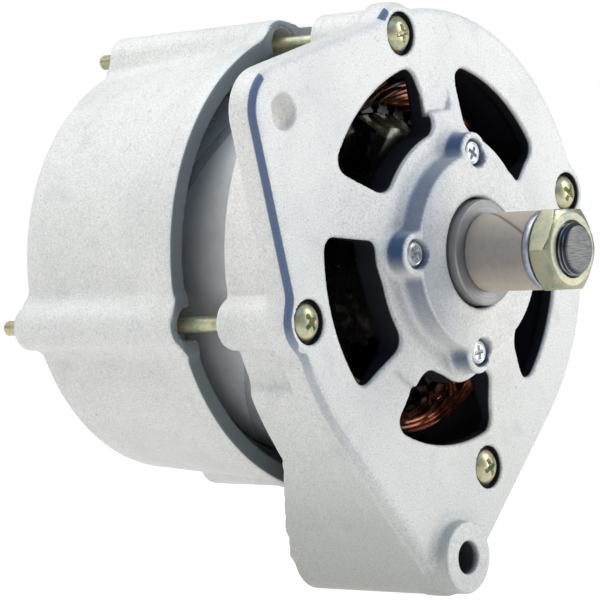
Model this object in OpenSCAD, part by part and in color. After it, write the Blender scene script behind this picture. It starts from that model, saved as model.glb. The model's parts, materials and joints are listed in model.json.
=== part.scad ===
// Belt-driven claw-pole alternator with one pivot lug, as it leaves the bench without pulley or fan.
// The shaft runs along Y, its threaded end towards -Y. X points right seen from that end, Z points up.
// The origin is the centre of the pivot bore, level with the front face of the bracket plate.
// Modules are drawn round the shaft and lifted above the pivot bore when they are placed.

/* [Stator] */
// Outer radius of the laminated core
stator_r = 62.3; // [60:0.1:66]
// Length of the laminated core
stator_len = 34; // [30:0.5:40]
// Radius of the stator bore
stator_bore_r = 45.2; // [44.5:0.1:46.5]
// Number of winding slots
slot_count = 36; // [24:6:36]
// Width of a winding slot
slot_w = 4; // [3:0.1:4.4]
// Width of the mouth of a slot at the bore
slot_mouth = 2.4; // [1.6:0.1:2.8]
// Radial depth of the core behind the slots
yoke_t = 5; // [4:0.1:7]
// Reach of the end turns beyond the core
overhang = 13; // [9:0.5:14]

/* [Drive end bracket] */
// Depth of the bracket from plate front to skirt rear
bracket_depth = 30; // [29:0.5:34]
// Depth of the turned seats that hold the stator core
register_depth = 4; // [3:0.5:6]
// Width of the shoulder that stops the core
shoulder_w = 1.8; // [1:0.1:2]
// Wall of the skirt round the stator
skirt_wall = 8.2; // [7:0.1:9.5]
// Overhang of the plate rim beyond the skirt
rim_overhang = 5.5; // [4.5:0.1:7]
// Thickness of the rim, ear and lug root
rim_t = 9.5; // [8:0.5:12]
// Thickness of the plate behind the windows
plate_t = 5; // [4:0.1:6.5]
// Rounding of the front edge of the rim
rim_round = 2; // [0.8:0.1:3]
// Rise of the domed middle of the plate
dome_rise = 5; // [3.5:0.1:6]
// Radius at which the dome meets the flat rim
dome_r = 58; // [55:0.5:60]
// Outer radius of the windows
window_r = 59; // [56:0.5:60]
// Inner radius of the windows
window_root_r = 38; // [37:0.5:42]
// Corner radius of the windows
window_corner = 5; // [3:0.1:6]

/* [Bearing hub] */
// Radius of the hub
hub_r = 30.2; // [29.5:0.1:33]
// Height of the hub front above the plate
hub_rise = 13.2; // [12:0.1:15]
// Wall in front of the bearing
hub_wall = 4.2; // [3.5:0.1:5]
// Radius of the opening round the collar
hub_mouth_r = 17; // [17:0.1:18]
// Radius of the circle of retainer screws
retainer_pitch_r = 30.5; // [30:0.1:32]
// Radius of a retainer screw boss
screw_boss_r = 6.5; // [5.5:0.1:7.5]

/* [Ear and pivot lug] */
// Drop from the shaft to the pivot bore
pivot_drop = 93.7; // [90:0.1:100]
// Radius of the pivot lug
lug_r = 11.2; // [10:0.1:13]
// Radius of the pivot bore
pivot_bore_r = 5.1; // [4.5:0.1:6]
// Length of the pivot lug
lug_len = 60.5; // [56:0.5:66]
// Height of the lug face in front of the plate
lug_proud = 5; // [3:0.1:7]
// Wall of the web between skirt and lug
web_t = 5; // [4:0.1:6]
// Distance of the adjuster hole from the shaft
ear_reach = 86.8; // [84:0.1:92]
// Angle of the adjuster hole
ear_angle = 150.9; // [144:0.1:156]
// Corner radius of the ear
ear_r = 14; // [12:0.1:16]
// Radius of the adjuster hole
ear_hole_r = 4.95; // [4:0.05:6]

/* [Slip ring end housing] */
// Reach of the housing lip over the stator
lip_reach = 12.2; // [10:0.1:13]
// Air gap between the stator and the lip
lip_gap = 5.9; // [5:0.1:7]
// Wall of the lip
lip_wall = 5.8; // [5:0.1:7]
// Width of the raised band at the lip
lip_band = 6.2; // [4:0.1:8]
// Depth from the stator core to the rear face
housing_depth = 56; // [55:0.5:62]
// Draft of the drum, radius lost from lip band to rear face
drum_draft = 4.2; // [2:0.1:5]
// Height of the lip band above the drum
band_step = 2.2; // [1:0.1:3]
// Thickness of the rear wall
rear_wall = 5; // [4:0.1:6]
// Rounding of the rear rim
rear_round = 4; // [2:0.1:5]
// Width of a cooling slot
vent_w = 8; // [6:0.1:9]

/* [Through bolts] */
// Gap between the stator and the middle of a bolt
bolt_offset = 7.5; // [7:0.1:8.5]
// Angle of the first bolt
bolt_angle = 15.7; // [13:0.1:18]
// Radius of a bolt shank
bolt_r = 2.4; // [2:0.05:2.8]
// Radius of a bolt head
bolt_head_r = 5.5; // [5:0.1:6]
// Height of a bolt head
bolt_head_h = 3.8; // [3:0.1:4.5]
// Radius of a boss or ridge round a bolt
bolt_boss_r = 8; // [7:0.1:8.5]
// Depth of the recess for a bolt head
bolt_recess = 3; // [2:0.1:4]
// Reach of the bolt tips behind the housing bosses
bolt_tip = 9; // [4:0.5:12]

/* [Rotor] */
// Clearance between the claws and the stator
air_gap = 0.35; // [0.3:0.01:0.6]
// Overall length of the claw poles
rotor_len = 48; // [46:0.5:52]
// Number of claws on each pole half
claw_count = 6; // [5:1:7]
// Thickness of the root plate of a pole half
pole_t = 11; // [9:0.1:12]
// Width of a claw at its root
claw_root_w = 23; // [20:0.1:24]
// Width of a claw at its tip
claw_tip_w = 11; // [8:0.1:12]
// Thickness of a claw where it leaves the root plate
claw_root_t = 9; // [8:0.1:10]
// Thickness of a claw at its tip
claw_tip_t = 3; // [2:0.1:4]
// Radius of the pole core inside the field coil
core_r = 24; // [22:0.1:26]
// Wall of the coil bobbin
bobbin_t = 1.2; // [1:0.1:1.5]

/* [Shaft] */
// Radius of the shaft at the drive end
shaft_r = 8.5; // [8.4:0.1:9]
// Radius of the shaft behind the rotor
rear_shaft_r = 8; // [7.8:0.1:8.2]
// Outside radius of the thread
thread_r = 8; // [7.5:0.1:8.2]
// Length of thread in front of the nut
thread_stub = 2.7; // [2:0.1:5]
// Radius of the collar in front of the bearing
collar_r = 16.25; // [15:0.05:16.5]
// Height of the collar face above the hub
collar_proud = 2.5; // [1:0.1:5]
// Outer radius of the sleeve
sleeve_r = 12; // [11.6:0.1:13]
// Wall of the sleeve
sleeve_t = 1.5; // [1:0.1:1.5]
// Length of the sleeve
sleeve_len = 21; // [19:0.5:26]
// Outer radius of the spring washer
washer_r = 12.2; // [11:0.1:13]
// Thickness of the spring washer
washer_t = 2.7; // [2:0.1:3.5]
// Width across the flats of the shaft nut
nut_flats = 24; // [22:0.1:26]
// Height of the shaft nut
nut_h = 7.6; // [6:0.1:12]
// Width of the shaft key
key_w = 4; // [3:0.1:5]
// Radius of the half-moon key
key_r = 6.5; // [5.5:0.1:7]

/* [Slip rings and brushes] */
// Outer radius of the slip rings
ring_r = 15.5; // [14.5:0.1:17]
// Wall of a slip ring
ring_t = 3; // [2:0.1:3.5]
// Width of a slip ring
ring_w = 6; // [5.5:0.1:6.5]
// Width of the land between and beside the rings
ring_land = 2.6; // [2:0.1:3]
// Gap between the rotor and the first ring land
lead_space = 8; // [6:0.1:9]
// Width of a brush along the shaft
brush_w = 5; // [4:0.1:5.2]
// Width of a brush across the shaft
brush_b = 7; // [5:0.1:8]
// Length of a brush
brush_len = 17; // [16:0.5:20]
// Free length of a brush outside its guide
brush_free = 8.5; // [8:0.1:9.5]
// Length of a brush spring in its guide
spring_len = 12; // [10:0.1:14]
// Outer radius of a brush spring
spring_r = 2.2; // [1.8:0.1:2.3]
// Wall of the brush holder
holder_t = 2; // [1.5:0.1:3]

/* [Bearings] */
// Outer radius of the front bearing
front_outer_r = 23.5; // [23:0.1:24]
// Width of the front bearing
front_w = 14; // [12:0.1:14]
// Number of balls in the front bearing
front_balls = 7; // [6:1:8]
// Radius of a ball in the front bearing
front_ball_r = 4.35; // [4:0.05:4.4]
// Outer radius of the rear bearing
rear_outer_r = 17.5; // [17:0.1:18]
// Bore radius of the rear bearing
rear_bore_r = 7.5; // [7:0.1:7.7]
// Width of the rear bearing
rear_w = 11; // [10:0.1:12]
// Number of balls in the rear bearing
rear_balls = 8; // [6:1:8]
// Radius of a ball in the rear bearing
rear_ball_r = 3; // [2.6:0.05:3.1]

/* [Rectifier and terminals] */
// Outer radius of the heat sinks
sink_r = 57; // [54:0.5:58]
// Inner radius of the heat sinks
sink_bore_r = 29; // [27:0.5:31]
// Thickness of a heat sink
sink_t = 3; // [2:0.1:4]
// Gap between the two heat sinks
sink_gap = 9; // [8:0.5:11]
// Radius of a power diode
diode_r = 6.35; // [5.5:0.05:6.5]
// Radius of the circle of power diodes
diode_pitch_r = 42; // [40:0.5:44]
// Radius of the output stud
output_stud_r = 4; // [3:0.1:4]
// Reach of the output stud behind the housing
output_reach = 20; // [16:0.5:24]
// Radius of the exciter stud
exciter_stud_r = 2.5; // [2:0.1:3]
// Reach of the exciter stud behind the housing
exciter_reach = 13; // [11:0.5:16]

/* [Regulator] */
// Half width of the regulator flange
regulator_half_w = 26; // [25:0.5:28]
// Thickness of the regulator flange
flange_t = 2.5; // [2:0.1:3]
// Height of the regulator can above its flange
can_h = 8; // [6:0.1:10]

/* [Hidden] */

// Clearances and small fits
fit = 0.05;
race_gap = 0.03;
brush_gap = 0.1;
cut = 0.5;
round_steps = 96;
small_steps = 48;

// Radii that follow the stator
register_r = stator_r + fit;
cavity_r = stator_r - shoulder_w;
skirt_r = stator_r + skirt_wall;
plate_r = skirt_r + rim_overhang;
bolt_pitch_r = stator_r + bolt_offset;
lip_bore_r = stator_r + lip_gap;
lip_r = lip_bore_r + lip_wall;
drum_r = lip_r - band_step;
drum_rear_r = drum_r - drum_draft;
rotor_r = stator_bore_r - air_gap;

// Stations along the shaft
core_front = bracket_depth - register_depth;
core_rear = core_front + stator_len;
rotor_front = (core_front + core_rear - rotor_len) / 2;
rotor_rear = rotor_front + rotor_len;
lip_front = core_rear - lip_reach;
lip_floor = core_rear - register_depth + 1;
rear_face = core_rear + housing_depth;
wall_front = rear_face - rear_wall;
hub_front = -hub_rise;
bearing_front = hub_front + hub_wall;
bearing_rear = bearing_front + front_w;
collar_face = hub_front - collar_proud;
sleeve_face = collar_face - sleeve_len;
washer_face = sleeve_face - washer_t;
nut_face = washer_face - nut_h;
shaft_tip = nut_face - thread_stub;
thread_end = sleeve_face + 3.5;
nut_seat = rear_face + 3;
rear_bearing_rear = wall_front - 2;
rear_bearing_front = rear_bearing_rear - rear_w;
lug_rear = lug_len - lug_proud;

// Bolts, hub screws and window sectors, as angles seen from the pulley end
bolt_angles = [for (i = [0:3]) bolt_angle + 90 * i];
screw_angles = [0, 90, 180, 270];
window_sectors = [[33, 82], [103, 153.5], [174, 223.5], [242.5, 292.5], [314.5, 363]];
lug_at = [0, -pivot_drop];
ear_at = ear_reach * [cos(ear_angle), sin(ear_angle)];
bolt_bulge_r = bolt_boss_r + 1.8;
bolt_hole_r = bolt_r + 0.35;
recess_r = bolt_head_r + 2;

// Terminal nuts, and the middle of a thread as a share of its crest radius
output_nut_h = 6;
exciter_nut_h = 4;
mid_thread = 0.9;

// Retainer screws
retainer_t = 2;
screw_r = 2;
screw_head_r = 3.85;
screw_head_h = 2.4;
screw_recess_r = 4.5;
screw_recess = 3;
boss_face = hub_front + 1.2;

// Claws
claw_len = rotor_len - 3;
valley_r = core_r + 5;
coil_r = core_r + bobbin_t;
coil_outer_r = rotor_r - claw_root_t - 1.8;
coil_front = rotor_front + pole_t;
coil_rear = rotor_rear - pole_t;

// Slip rings
land_front = rotor_rear + lead_space;
first_ring = land_front + ring_land;
second_ring = first_ring + ring_w + ring_land;
carrier_rear = second_ring + ring_w + ring_land;
carrier_r = ring_r - 0.7;
ring_middles = [first_ring + ring_w / 2, second_ring + ring_w / 2];

// Brush gear, standing above the slip rings
brush_foot = ring_r + race_gap;
guide_foot = brush_foot + brush_free;
spring_foot = brush_foot + brush_len;
guide_top = spring_foot + spring_len;
holder_top = guide_top + holder_t;
holder_half_b = brush_b / 2 + brush_gap + holder_t;
holder_front = ring_middles[0] - brush_w / 2 - brush_gap - holder_t;
holder_rear = ring_middles[1] + brush_w / 2 + brush_gap + holder_t;
flange_top = holder_top + 4;
flange_foot = guide_foot + 1.5;
regulator_screw_at = [regulator_half_w - 5, (flange_top + flange_foot) / 2];

// Rectifier
negative_rear = wall_front - 2;
negative_front = negative_rear - sink_t;
positive_rear = negative_front - sink_gap;
positive_front = positive_rear - sink_t;
board_front = positive_rear + sink_gap / 2 - 0.8;
board_rear = board_front + 1.6;
sink_sector = [150, 390];
sink_screw_angles = [165, 270, 375];
sink_screw_pitch_r = 51;
positive_angles = [190, 235, 295];
negative_angles = [213, 250, 315];
output_angle = 340;
output_pitch_r = 44;
exciter_at = [42, 32];
phase_at = [-34, 38];
output_at = output_pitch_r * [cos(output_angle), sin(output_angle)];
rear_boss_rise = 2;
flange_rear = rear_face + flange_t;

// Places children above the pivot bore, on the shaft's own axis
module on_shaft() translate([0, 0, pivot_drop]) children();

// Extrudes an outline drawn as seen from the pulley end, from station y0 back to station y1
module slab(y0, y1) translate([0, y1, 0]) rotate([90, 0, 0]) linear_extrude(y1 - y0) children();

// Turns a profile of [radius, station] points about the shaft
module turned(points, steps = round_steps)
    rotate([-90, 0, 0]) rotate_extrude($fn = steps) polygon(points);

// Plain disc, tube or rod on the shaft axis
module disc(r, y0, y1, steps = round_steps) slab(y0, y1) circle(r, $fn = steps);
module tube(r_out, r_in, y0, y1, steps = round_steps)
    difference() {
        disc(r_out, y0, y1, steps);
        disc(r_in, y0 - cut, y1 + cut, steps);
    }

// Rod along the shaft at a point of the front view
module rod_at(p, r, y0, y1, steps = small_steps) translate([p.x, 0, p.y]) disc(r, y0, y1, steps);

function polar(r, a) = r * [cos(a), sin(a)];
function bolt_at(a) = polar(bolt_pitch_r, a);
function screw_at(a) = polar(retainer_pitch_r, a);

// Points of an arc about c, from angle a0 to a1
function arc(c, r, a0, a1, n) = [for (i = [0:n]) c + polar(r, a0 + (a1 - a0) * i / n)];

// Where the outer tangents of two circles touch them, side 1 to the left of the line c1 to c2
function tangent_pair(c1, r1, c2, r2, side) =
    let (d = c2 - c1, lead = atan2(d.y, d.x), lean = side * acos((r1 - r2) / norm(d)))
    [c1 + polar(r1, lead + lean), c2 + polar(r2, lead + lean)];

// Outline that wraps two circles like a belt
module belt(c1, r1, c2, r2) {
    left = tangent_pair(c1, r1, c2, r2, 1);
    right = tangent_pair(c1, r1, c2, r2, -1);
    translate(c1) circle(r1, $fn = round_steps);
    translate(c2) circle(r2, $fn = small_steps);
    polygon([c1, left[0], left[1], c2, right[1], right[0]]);
}

// Skin that joins outlines of equal point counts, each given as [station, points]
module loft(sections) {
    n = len(sections[0][1]);
    last = len(sections) - 1;
    points = [for (section = sections) for (p = section[1]) [p.x, section[0], p.y]];
    sides = [for (j = [0:last - 1], i = [0:n - 1])
        [n * j + i, n * j + (i + 1) % n, n * (j + 1) + (i + 1) % n, n * (j + 1) + i]];
    polyhedron(points, concat(sides, [[for (i = [n - 1:-1:0]) i], [for (i = [0:n - 1]) n * last + i]]));
}

// Cone on the shaft axis, from radius r0 at y0 to r1 at y1
module cone(r0, r1, y0, y1) turned([[0, y0], [r0, y0], [r1, y1], [0, y1]]);
module rod_cone(p, r0, r1, y0, y1) translate([p.x, 0, p.y])
    turned([[0, y0], [r0, y0], [r1, y1], [0, y1]], small_steps);

// Sector of a ring with rounded corners, seen from the pulley end
function sector_points(r0, r1, a0, a1, c) =
    let (out_lean = asin(c / (r1 - c)), in_lean = asin(c / (r0 + c)))
    let (far_0 = polar(r1 - c, a0 + out_lean), far_1 = polar(r1 - c, a1 - out_lean))
    let (near_0 = polar(r0 + c, a0 + in_lean), near_1 = polar(r0 + c, a1 - in_lean))
    concat(
        arc(near_0, c, a0 + 180 + in_lean, a0 + 270, 4), arc(far_0, c, a0 - 90, a0 + out_lean, 4),
        arc([0, 0], r1, a0 + out_lean + 2, a1 - out_lean - 2, 10),
        arc(far_1, c, a1 - out_lean, a1 + 90, 4), arc(near_1, c, a1 + 90, a1 + 180 - in_lean, 4),
        arc([0, 0], r0, a1 - in_lean - 2, a0 + in_lean + 2, 8));

module drive_end_bracket() color("gainsboro") {
    difference() {
        union() {
            bracket_body();
            bracket_ear_and_lug();
            for (a = bolt_angles) {
                rod_at(bolt_at(a), bolt_bulge_r - rim_round / 2, 0, rim_t);
                rod_at(bolt_at(a), bolt_bulge_r, rim_round / 2, rim_t);
                rod_at(bolt_at(a), bolt_boss_r, rim_t - cut, bracket_depth);
            }
            for (a = screw_angles) rod_at(screw_at(a), screw_boss_r, boss_face, plate_t);
        }
        bracket_hollow();
        for (a = bolt_angles) {
            rod_at(bolt_at(a), recess_r, -cut, bolt_recess);
            rod_at(bolt_at(a), bolt_hole_r, 0, bracket_depth + cut);
        }
        for (a = screw_angles) {
            rod_at(screw_at(a), screw_recess_r, boss_face - cut, boss_face + screw_recess);
            rod_at(screw_at(a), screw_r + 0.15, boss_face, plate_t + cut);
        }
        slab(-dome_rise - 1, plate_t + cut) windows();
        rod_at(lug_at, pivot_bore_r, -lug_proud - cut, lug_rear + cut);
        rod_at(ear_at, ear_hole_r, -cut, rim_t + cut);
    }
}

// Window openings, which give way to the bosses of the retainer screws
module windows() difference() {
    for (w = window_sectors)
        polygon(sector_points(window_root_r, window_r, w[0], w[1], window_corner));
    for (a = screw_angles) translate(screw_at(a)) circle(screw_boss_r + 2.5, $fn = small_steps);
}

// Turned outside of the bracket: hub, dome and skirt
module bracket_body() {
    hub_round = 1.6;
    root = hub_r + 5.8;
    dome = [for (i = [1:8]) let (s = i / 8, blend = s * s * (3 - 2 * s))
        [root + (dome_r - root) * s, -dome_rise * (1 - blend)]];
    turned(concat(
        [[0, hub_front], [hub_r - hub_round, hub_front]],
        [for (a = [30:30:90]) [hub_r - hub_round * (1 - sin(a)), hub_front + hub_round * (1 - cos(a))]],
        [for (a = [0:22.5:90]) [root - 5.2 * cos(a), -dome_rise - 4 * (1 - sin(a))]],
        dome,
        [[skirt_r, 0], [skirt_r, bracket_depth - 1], [skirt_r - 1, bracket_depth], [0, bracket_depth]]));
}

// Hollow of the bracket: stator seat, winding space, bearing seat and the mouth round the collar
module bracket_hollow() {
    corner = 3;
    turned(concat(
        [[0, hub_front - cut], [hub_mouth_r, hub_front - cut], [hub_mouth_r, bearing_front]],
        [[front_outer_r, bearing_front], [front_outer_r, plate_t]],
        [[cavity_r - corner, plate_t], [cavity_r, plate_t + corner], [cavity_r, core_front]],
        [[register_r, core_front], [register_r, bracket_depth + cut], [0, bracket_depth + cut]]));
}

// How far the tangents of the rim to a smaller circle lean from the line between them
function tangent_lean(r, d) = acos((plate_r - r) / d);

// Outline of the plate drawn in by an inset: rim, ear, rim again and lug root
function rim_outline(inset) =
    let (lug_lean = tangent_lean(lug_r, pivot_drop), ear_lean = tangent_lean(ear_r, ear_reach))
    concat(
        arc([0, 0], plate_r - inset, lug_lean - 90, ear_angle - ear_lean, 36),
        arc(ear_at, ear_r - inset, ear_angle - ear_lean, ear_angle + ear_lean, 12),
        arc([0, 0], plate_r - inset, ear_angle + ear_lean, 270 - lug_lean, 8),
        arc(lug_at, lug_r - inset, 270 - lug_lean, 270 + lug_lean, 12));

// Rim of the plate, ear for the belt adjuster, and the pivot lug with its hollow web
module bracket_ear_and_lug() {
    loft(concat(
        [for (a = [0:30:90]) [rim_round * (1 - cos(a)), rim_outline(rim_round * (1 - sin(a)))]],
        [[rim_t - 0.8, rim_outline(0)], [rim_t, rim_outline(0.8)]]));
    rod_at(lug_at, lug_r, -lug_proud, lug_rear);
    rod_cone(lug_at, lug_r, lug_r + 1.6, -0.8, 0.4);
    difference() {
        intersection() {
            slab(rim_t - cut, lug_rear) belt([0, 0], plate_r, lug_at, lug_r);
            web_side();
        }
        slab(plate_t, bracket_depth) difference() {
            web_hollow();
            circle(skirt_r - 1, $fn = round_steps);
        }
        slab(bracket_depth, lug_rear + cut) web_hollow();
    }
}

// Space between the flanks of the web, round the lug
module web_hollow() difference() {
    belt([0, 0], plate_r - web_t, lug_at, lug_r - web_t);
    translate(lug_at) circle(lug_r - 1, $fn = small_steps);
}

// Side view of the web, which slopes from the skirt's rear edge back to the end of the lug
module web_side() {
    start = -(skirt_r - 9.5);
    slope_end = -pivot_drop + 6;
    translate([plate_r, 0, 0]) rotate([90, 0, -90]) linear_extrude(2 * plate_r)
        polygon([
            [0, start], [-bracket_depth, start], [-lug_rear + 4, slope_end],
            [-lug_rear + 0.6, -pivot_drop], [-lug_rear + 0.6, -pivot_drop - lug_r - 1],
            [0, -pivot_drop - lug_r - 1]]);
}

module slip_ring_end_housing() color("gainsboro") difference() {
    union() {
        housing_shell();
        // Pads that carry the rectifier
        for (a = sink_screw_angles)
            rod_at(polar(sink_screw_pitch_r, a), screw_r + 3, negative_rear, wall_front + cut);
    }
    for (a = bolt_angles) {
        rod_at(bolt_at(a), bolt_boss_r - 2.6, lip_front - cut, lip_floor);
        rod_at(bolt_at(a), bolt_r, lip_front, rear_face + cut);
    }
    for (a = vent_angles) slab(wall_front - cut, rear_face + cut) vent(a);
    brush_window();
    rear_holes();
}

// Drum with its bolt ridges, hollowed out
module housing_shell() difference() {
    union() {
        housing_body();
        for (a = bolt_angles) {
            rod_at(bolt_at(a), bolt_boss_r, lip_front, rear_face - 2);
            rod_cone(bolt_at(a), bolt_boss_r, bolt_boss_r - 1.5, rear_face - 2, rear_face - 0.5);
        }
    }
    housing_hollow();
}

// Drum with its lip band, rear wall and bearing boss
module housing_body() {
    band_rear = lip_front + lip_band;
    turned(concat(
        [[0, lip_front], [lip_r - 0.8, lip_front], [lip_r, lip_front + 0.8], [lip_r, band_rear]],
        [[drum_r, band_rear + 2.4], [drum_rear_r, rear_face - rear_round]],
        [for (a = [22.5:22.5:90])
            [drum_rear_r - rear_round * (1 - cos(a)), rear_face - rear_round * (1 - sin(a))]],
        [[rear_outer_r + 6, rear_face], [rear_outer_r + 4.5, rear_face + rear_boss_rise]],
        [[0, rear_face + rear_boss_rise]]));
}

// Hollow of the housing, which leaves the rear bearing's seat standing on the rear wall
module housing_hollow() {
    seat_r = rear_outer_r + 4.5;
    turned([
        [0, lip_front - cut], [lip_bore_r, lip_front - cut], [lip_bore_r, lip_floor - 1],
        [register_r, lip_floor], [register_r, core_rear], [cavity_r, core_rear],
        [cavity_r - 1, wall_front - 3], [cavity_r - 4, wall_front], [seat_r + 1, wall_front],
        [seat_r, wall_front - 1], [seat_r, rear_bearing_front - 0.8],
        [seat_r - 0.8, rear_bearing_front - 1.6],
        [rear_outer_r + 0.6, rear_bearing_front - 1.6], [rear_outer_r, rear_bearing_front - 1],
        [rear_outer_r, rear_bearing_rear], [rear_outer_r - 4, rear_bearing_rear],
        [rear_outer_r - 4, wall_front + 1], [0, wall_front + 1]]);
}

// Cooling slots fill the rear wall between the pads and the terminals
vent_angles = [for (a = [180:15:360]) if (abs(a - 270) > 8 && abs(a - output_angle) > 16) a];
module vent(a) {
    wide = vent_w / 2;
    outer = polar(drum_rear_r - 10 - wide, a);
    inner = polar(sink_bore_r + wide, a);
    polygon(concat(arc(outer, wide, a - 90, a + 90, 8), arc(inner, 0.8 * wide, a + 90, a + 270, 8)));
}

// Window through the rear wall for the brush holder
module brush_window() {
    half_b = holder_half_b + 0.5;
    slab(wall_front - cut, rear_face + cut)
        translate([-half_b, guide_foot - 0.5]) square([2 * half_b, holder_top - guide_foot + 1]);
}

// Holes in the rear wall for the terminals and for the screws of the rectifier and the regulator
module rear_holes() {
    rod_at(output_at, output_stud_r + 3, wall_front - cut, rear_face + cut);
    rod_at(exciter_at, exciter_stud_r + 2, wall_front - cut, rear_face + cut);
    translate([phase_at.x - 4, wall_front - cut, phase_at.y - 1.5])
        cube([8, rear_wall + 2 * cut, 3]);
    for (a = sink_screw_angles)
        rod_at(polar(sink_screw_pitch_r, a), screw_r, negative_rear - cut, wall_front + 3);
    for (x = [-regulator_screw_at.x, regulator_screw_at.x])
        rod_at([x, regulator_screw_at.y], screw_r, wall_front - cut, rear_face + cut);
}

module through_bolts() color("khaki")
    for (a = bolt_angles) {
        head_top = bolt_recess - bolt_head_h;
        difference() {
            union() {
                rod_at(bolt_at(a), bolt_r, bolt_recess - 1, rear_face - 0.5 + bolt_tip);
                translate([bolt_at(a).x, 0, bolt_at(a).y]) turned([
                    [0, head_top], [bolt_head_r * 0.45, head_top + 0.3], [bolt_head_r * 0.8, head_top + 1.1],
                    [bolt_head_r, head_top + 2.4], [bolt_head_r, bolt_recess], [0, bolt_recess]], small_steps);
            }
            cross_recess(bolt_at(a), head_top, 5.2, 1.3, 2);
        }
    }

// Cross-shaped driver recess in a screw head that faces the front, or the rear where back is true
module cross_recess(p, face, span, w, depth, back = false) {
    y0 = back ? face - depth : face - cut;
    translate([p.x - span / 2, y0, p.y - w / 2]) cube([span, depth + cut, w]);
    translate([p.x - w / 2, y0, p.y - span / 2]) cube([w, depth + cut, span]);
}

module stator_core() color("dimgray")
    difference() {
        tube(stator_r, stator_bore_r, core_front, core_rear);
        for (i = [0:slot_count - 1]) rotate([0, 360 / slot_count * i, 0]) {
            slot_bar(stator_bore_r + 1.2, stator_r - yoke_t, slot_w, core_front - cut, core_rear + cut);
            slot_bar(stator_bore_r - 2, stator_bore_r + 2, slot_mouth, core_front - cut, core_rear + cut);
        }
    }

// Bar with flat sides that runs along the shaft between two radii
module slot_bar(r0, r1, w, y0, y1) translate([-w / 2, y0, r0]) cube([w, y1 - y0, r1 - r0]);

module stator_winding() color("chocolate") {
    inner = stator_bore_r + 1.6;
    outer = stator_r - yoke_t - 0.4;
    for (i = [0:slot_count - 1]) rotate([0, 360 / slot_count * i, 0])
        slot_bar(inner, outer, slot_w, core_front - 2, core_rear + 2);
    end_turns(core_front - overhang, core_front - 1, inner, outer);
    end_turns(core_rear + 1, core_rear + overhang, inner, outer);
}

// Ring of end turns with rounded shoulders
module end_turns(y0, y1, inner, outer) {
    c = 3;
    turned([
        [inner, y0 + c], [inner + c, y0], [outer - c, y0], [outer, y0 + c],
        [outer, y1 - c], [outer - c, y1], [inner + c, y1], [inner, y1 - c]]);
}

module bearing_retainer_plate() color("silver")
    slab(plate_t, plate_t + retainer_t) difference() {
        union() {
            circle(front_outer_r + 2.5, $fn = round_steps);
            for (a = screw_angles) translate(screw_at(a)) circle(screw_boss_r - 0.5, $fn = small_steps);
        }
        circle(shaft_r + 6, $fn = small_steps);
        for (a = screw_angles) translate(screw_at(a)) circle(screw_r, $fn = small_steps);
    }

module retainer_screws() color("whitesmoke")
    for (a = screw_angles) {
        seat = boss_face + screw_recess;
        head = seat - screw_head_h;
        difference() {
            union() {
                rod_at(screw_at(a), screw_r, seat - 1, plate_t + retainer_t + 1);
                rod_at(screw_at(a), screw_head_r, head + 0.8, seat);
                rod_cone(screw_at(a), screw_head_r - 1, screw_head_r, head, head + 0.8);
            }
            cross_recess(screw_at(a), head, 4.2, 1, 1.5);
        }
    }

// Ball bearing pieces: rings with grooves, balls, cage and seals, from the bearing's own sizes
function land_gap(outer_r, bore_r, ball_r) = (outer_r - bore_r) / 2 - ball_r * 0.64;

module race(r_out, r_in, pitch, ball_r, y0, w) difference() {
    tube(r_out, r_in, y0, y0 + w);
    rotate([-90, 0, 0]) rotate_extrude($fn = round_steps)
        translate([pitch, y0 + w / 2]) circle(ball_r + race_gap, $fn = small_steps);
}

module ball_set(pitch, ball_r, count, y) for (i = [0:count - 1])
    rotate([0, 360 / count * i, 0]) translate([0, y, pitch]) sphere(ball_r, $fn = small_steps);

module cage(pitch, ball_r, count, y) difference() {
    tube(pitch + ball_r * 0.24, pitch - ball_r * 0.24, y - ball_r - 1, y + ball_r + 1);
    for (i = [0:count - 1])
        rotate([0, 360 / count * i, 0]) translate([0, y, pitch]) sphere(ball_r + 0.1, $fn = small_steps);
}

module seals(r_out, r_in, y0, w) {
    tube(r_out, r_in, y0 + 0.3, y0 + 0.8);
    tube(r_out, r_in, y0 + w - 0.8, y0 + w - 0.3);
}

front_pitch = (front_outer_r + shaft_r) / 2;
front_land = land_gap(front_outer_r, shaft_r, front_ball_r);
front_middle = bearing_front + front_w / 2;
rear_pitch = (rear_outer_r + rear_bore_r) / 2;
rear_land = land_gap(rear_outer_r, rear_bore_r, rear_ball_r);
rear_middle = rear_bearing_front + rear_w / 2;

module front_bearing_outer_ring() color("silver")
    race(front_outer_r, front_outer_r - front_land, front_pitch, front_ball_r, bearing_front, front_w);
module front_bearing_inner_ring() color("silver")
    race(shaft_r + front_land, shaft_r, front_pitch, front_ball_r, bearing_front, front_w);
module front_bearing_balls() color("white")
    ball_set(front_pitch, front_ball_r, front_balls, front_middle);
module front_bearing_cage() color("goldenrod")
    cage(front_pitch, front_ball_r, front_balls, front_middle);
module front_bearing_seals() color("dimgray")
    seals(front_outer_r - front_land, shaft_r + front_land + 0.3, bearing_front, front_w);
module rear_bearing_outer_ring() color("silver")
    race(rear_outer_r, rear_outer_r - rear_land, rear_pitch, rear_ball_r, rear_bearing_front, rear_w);
module rear_bearing_inner_ring() color("silver")
    race(rear_bore_r + rear_land, rear_bore_r, rear_pitch, rear_ball_r, rear_bearing_front, rear_w);
module rear_bearing_balls() color("white")
    ball_set(rear_pitch, rear_ball_r, rear_balls, rear_middle);
module rear_bearing_cage() color("goldenrod")
    cage(rear_pitch, rear_ball_r, rear_balls, rear_middle);
module rear_bearing_seals() color("dimgray")
    seals(rear_outer_r - rear_land, rear_bore_r + rear_land + 0.3, rear_bearing_front, rear_w);

// Middle of the key along the shaft, and the height of its disc above the axis
key_y = (collar_face + thread_end) / 2;
key_z = shaft_r - 3.8 + key_r;

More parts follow.
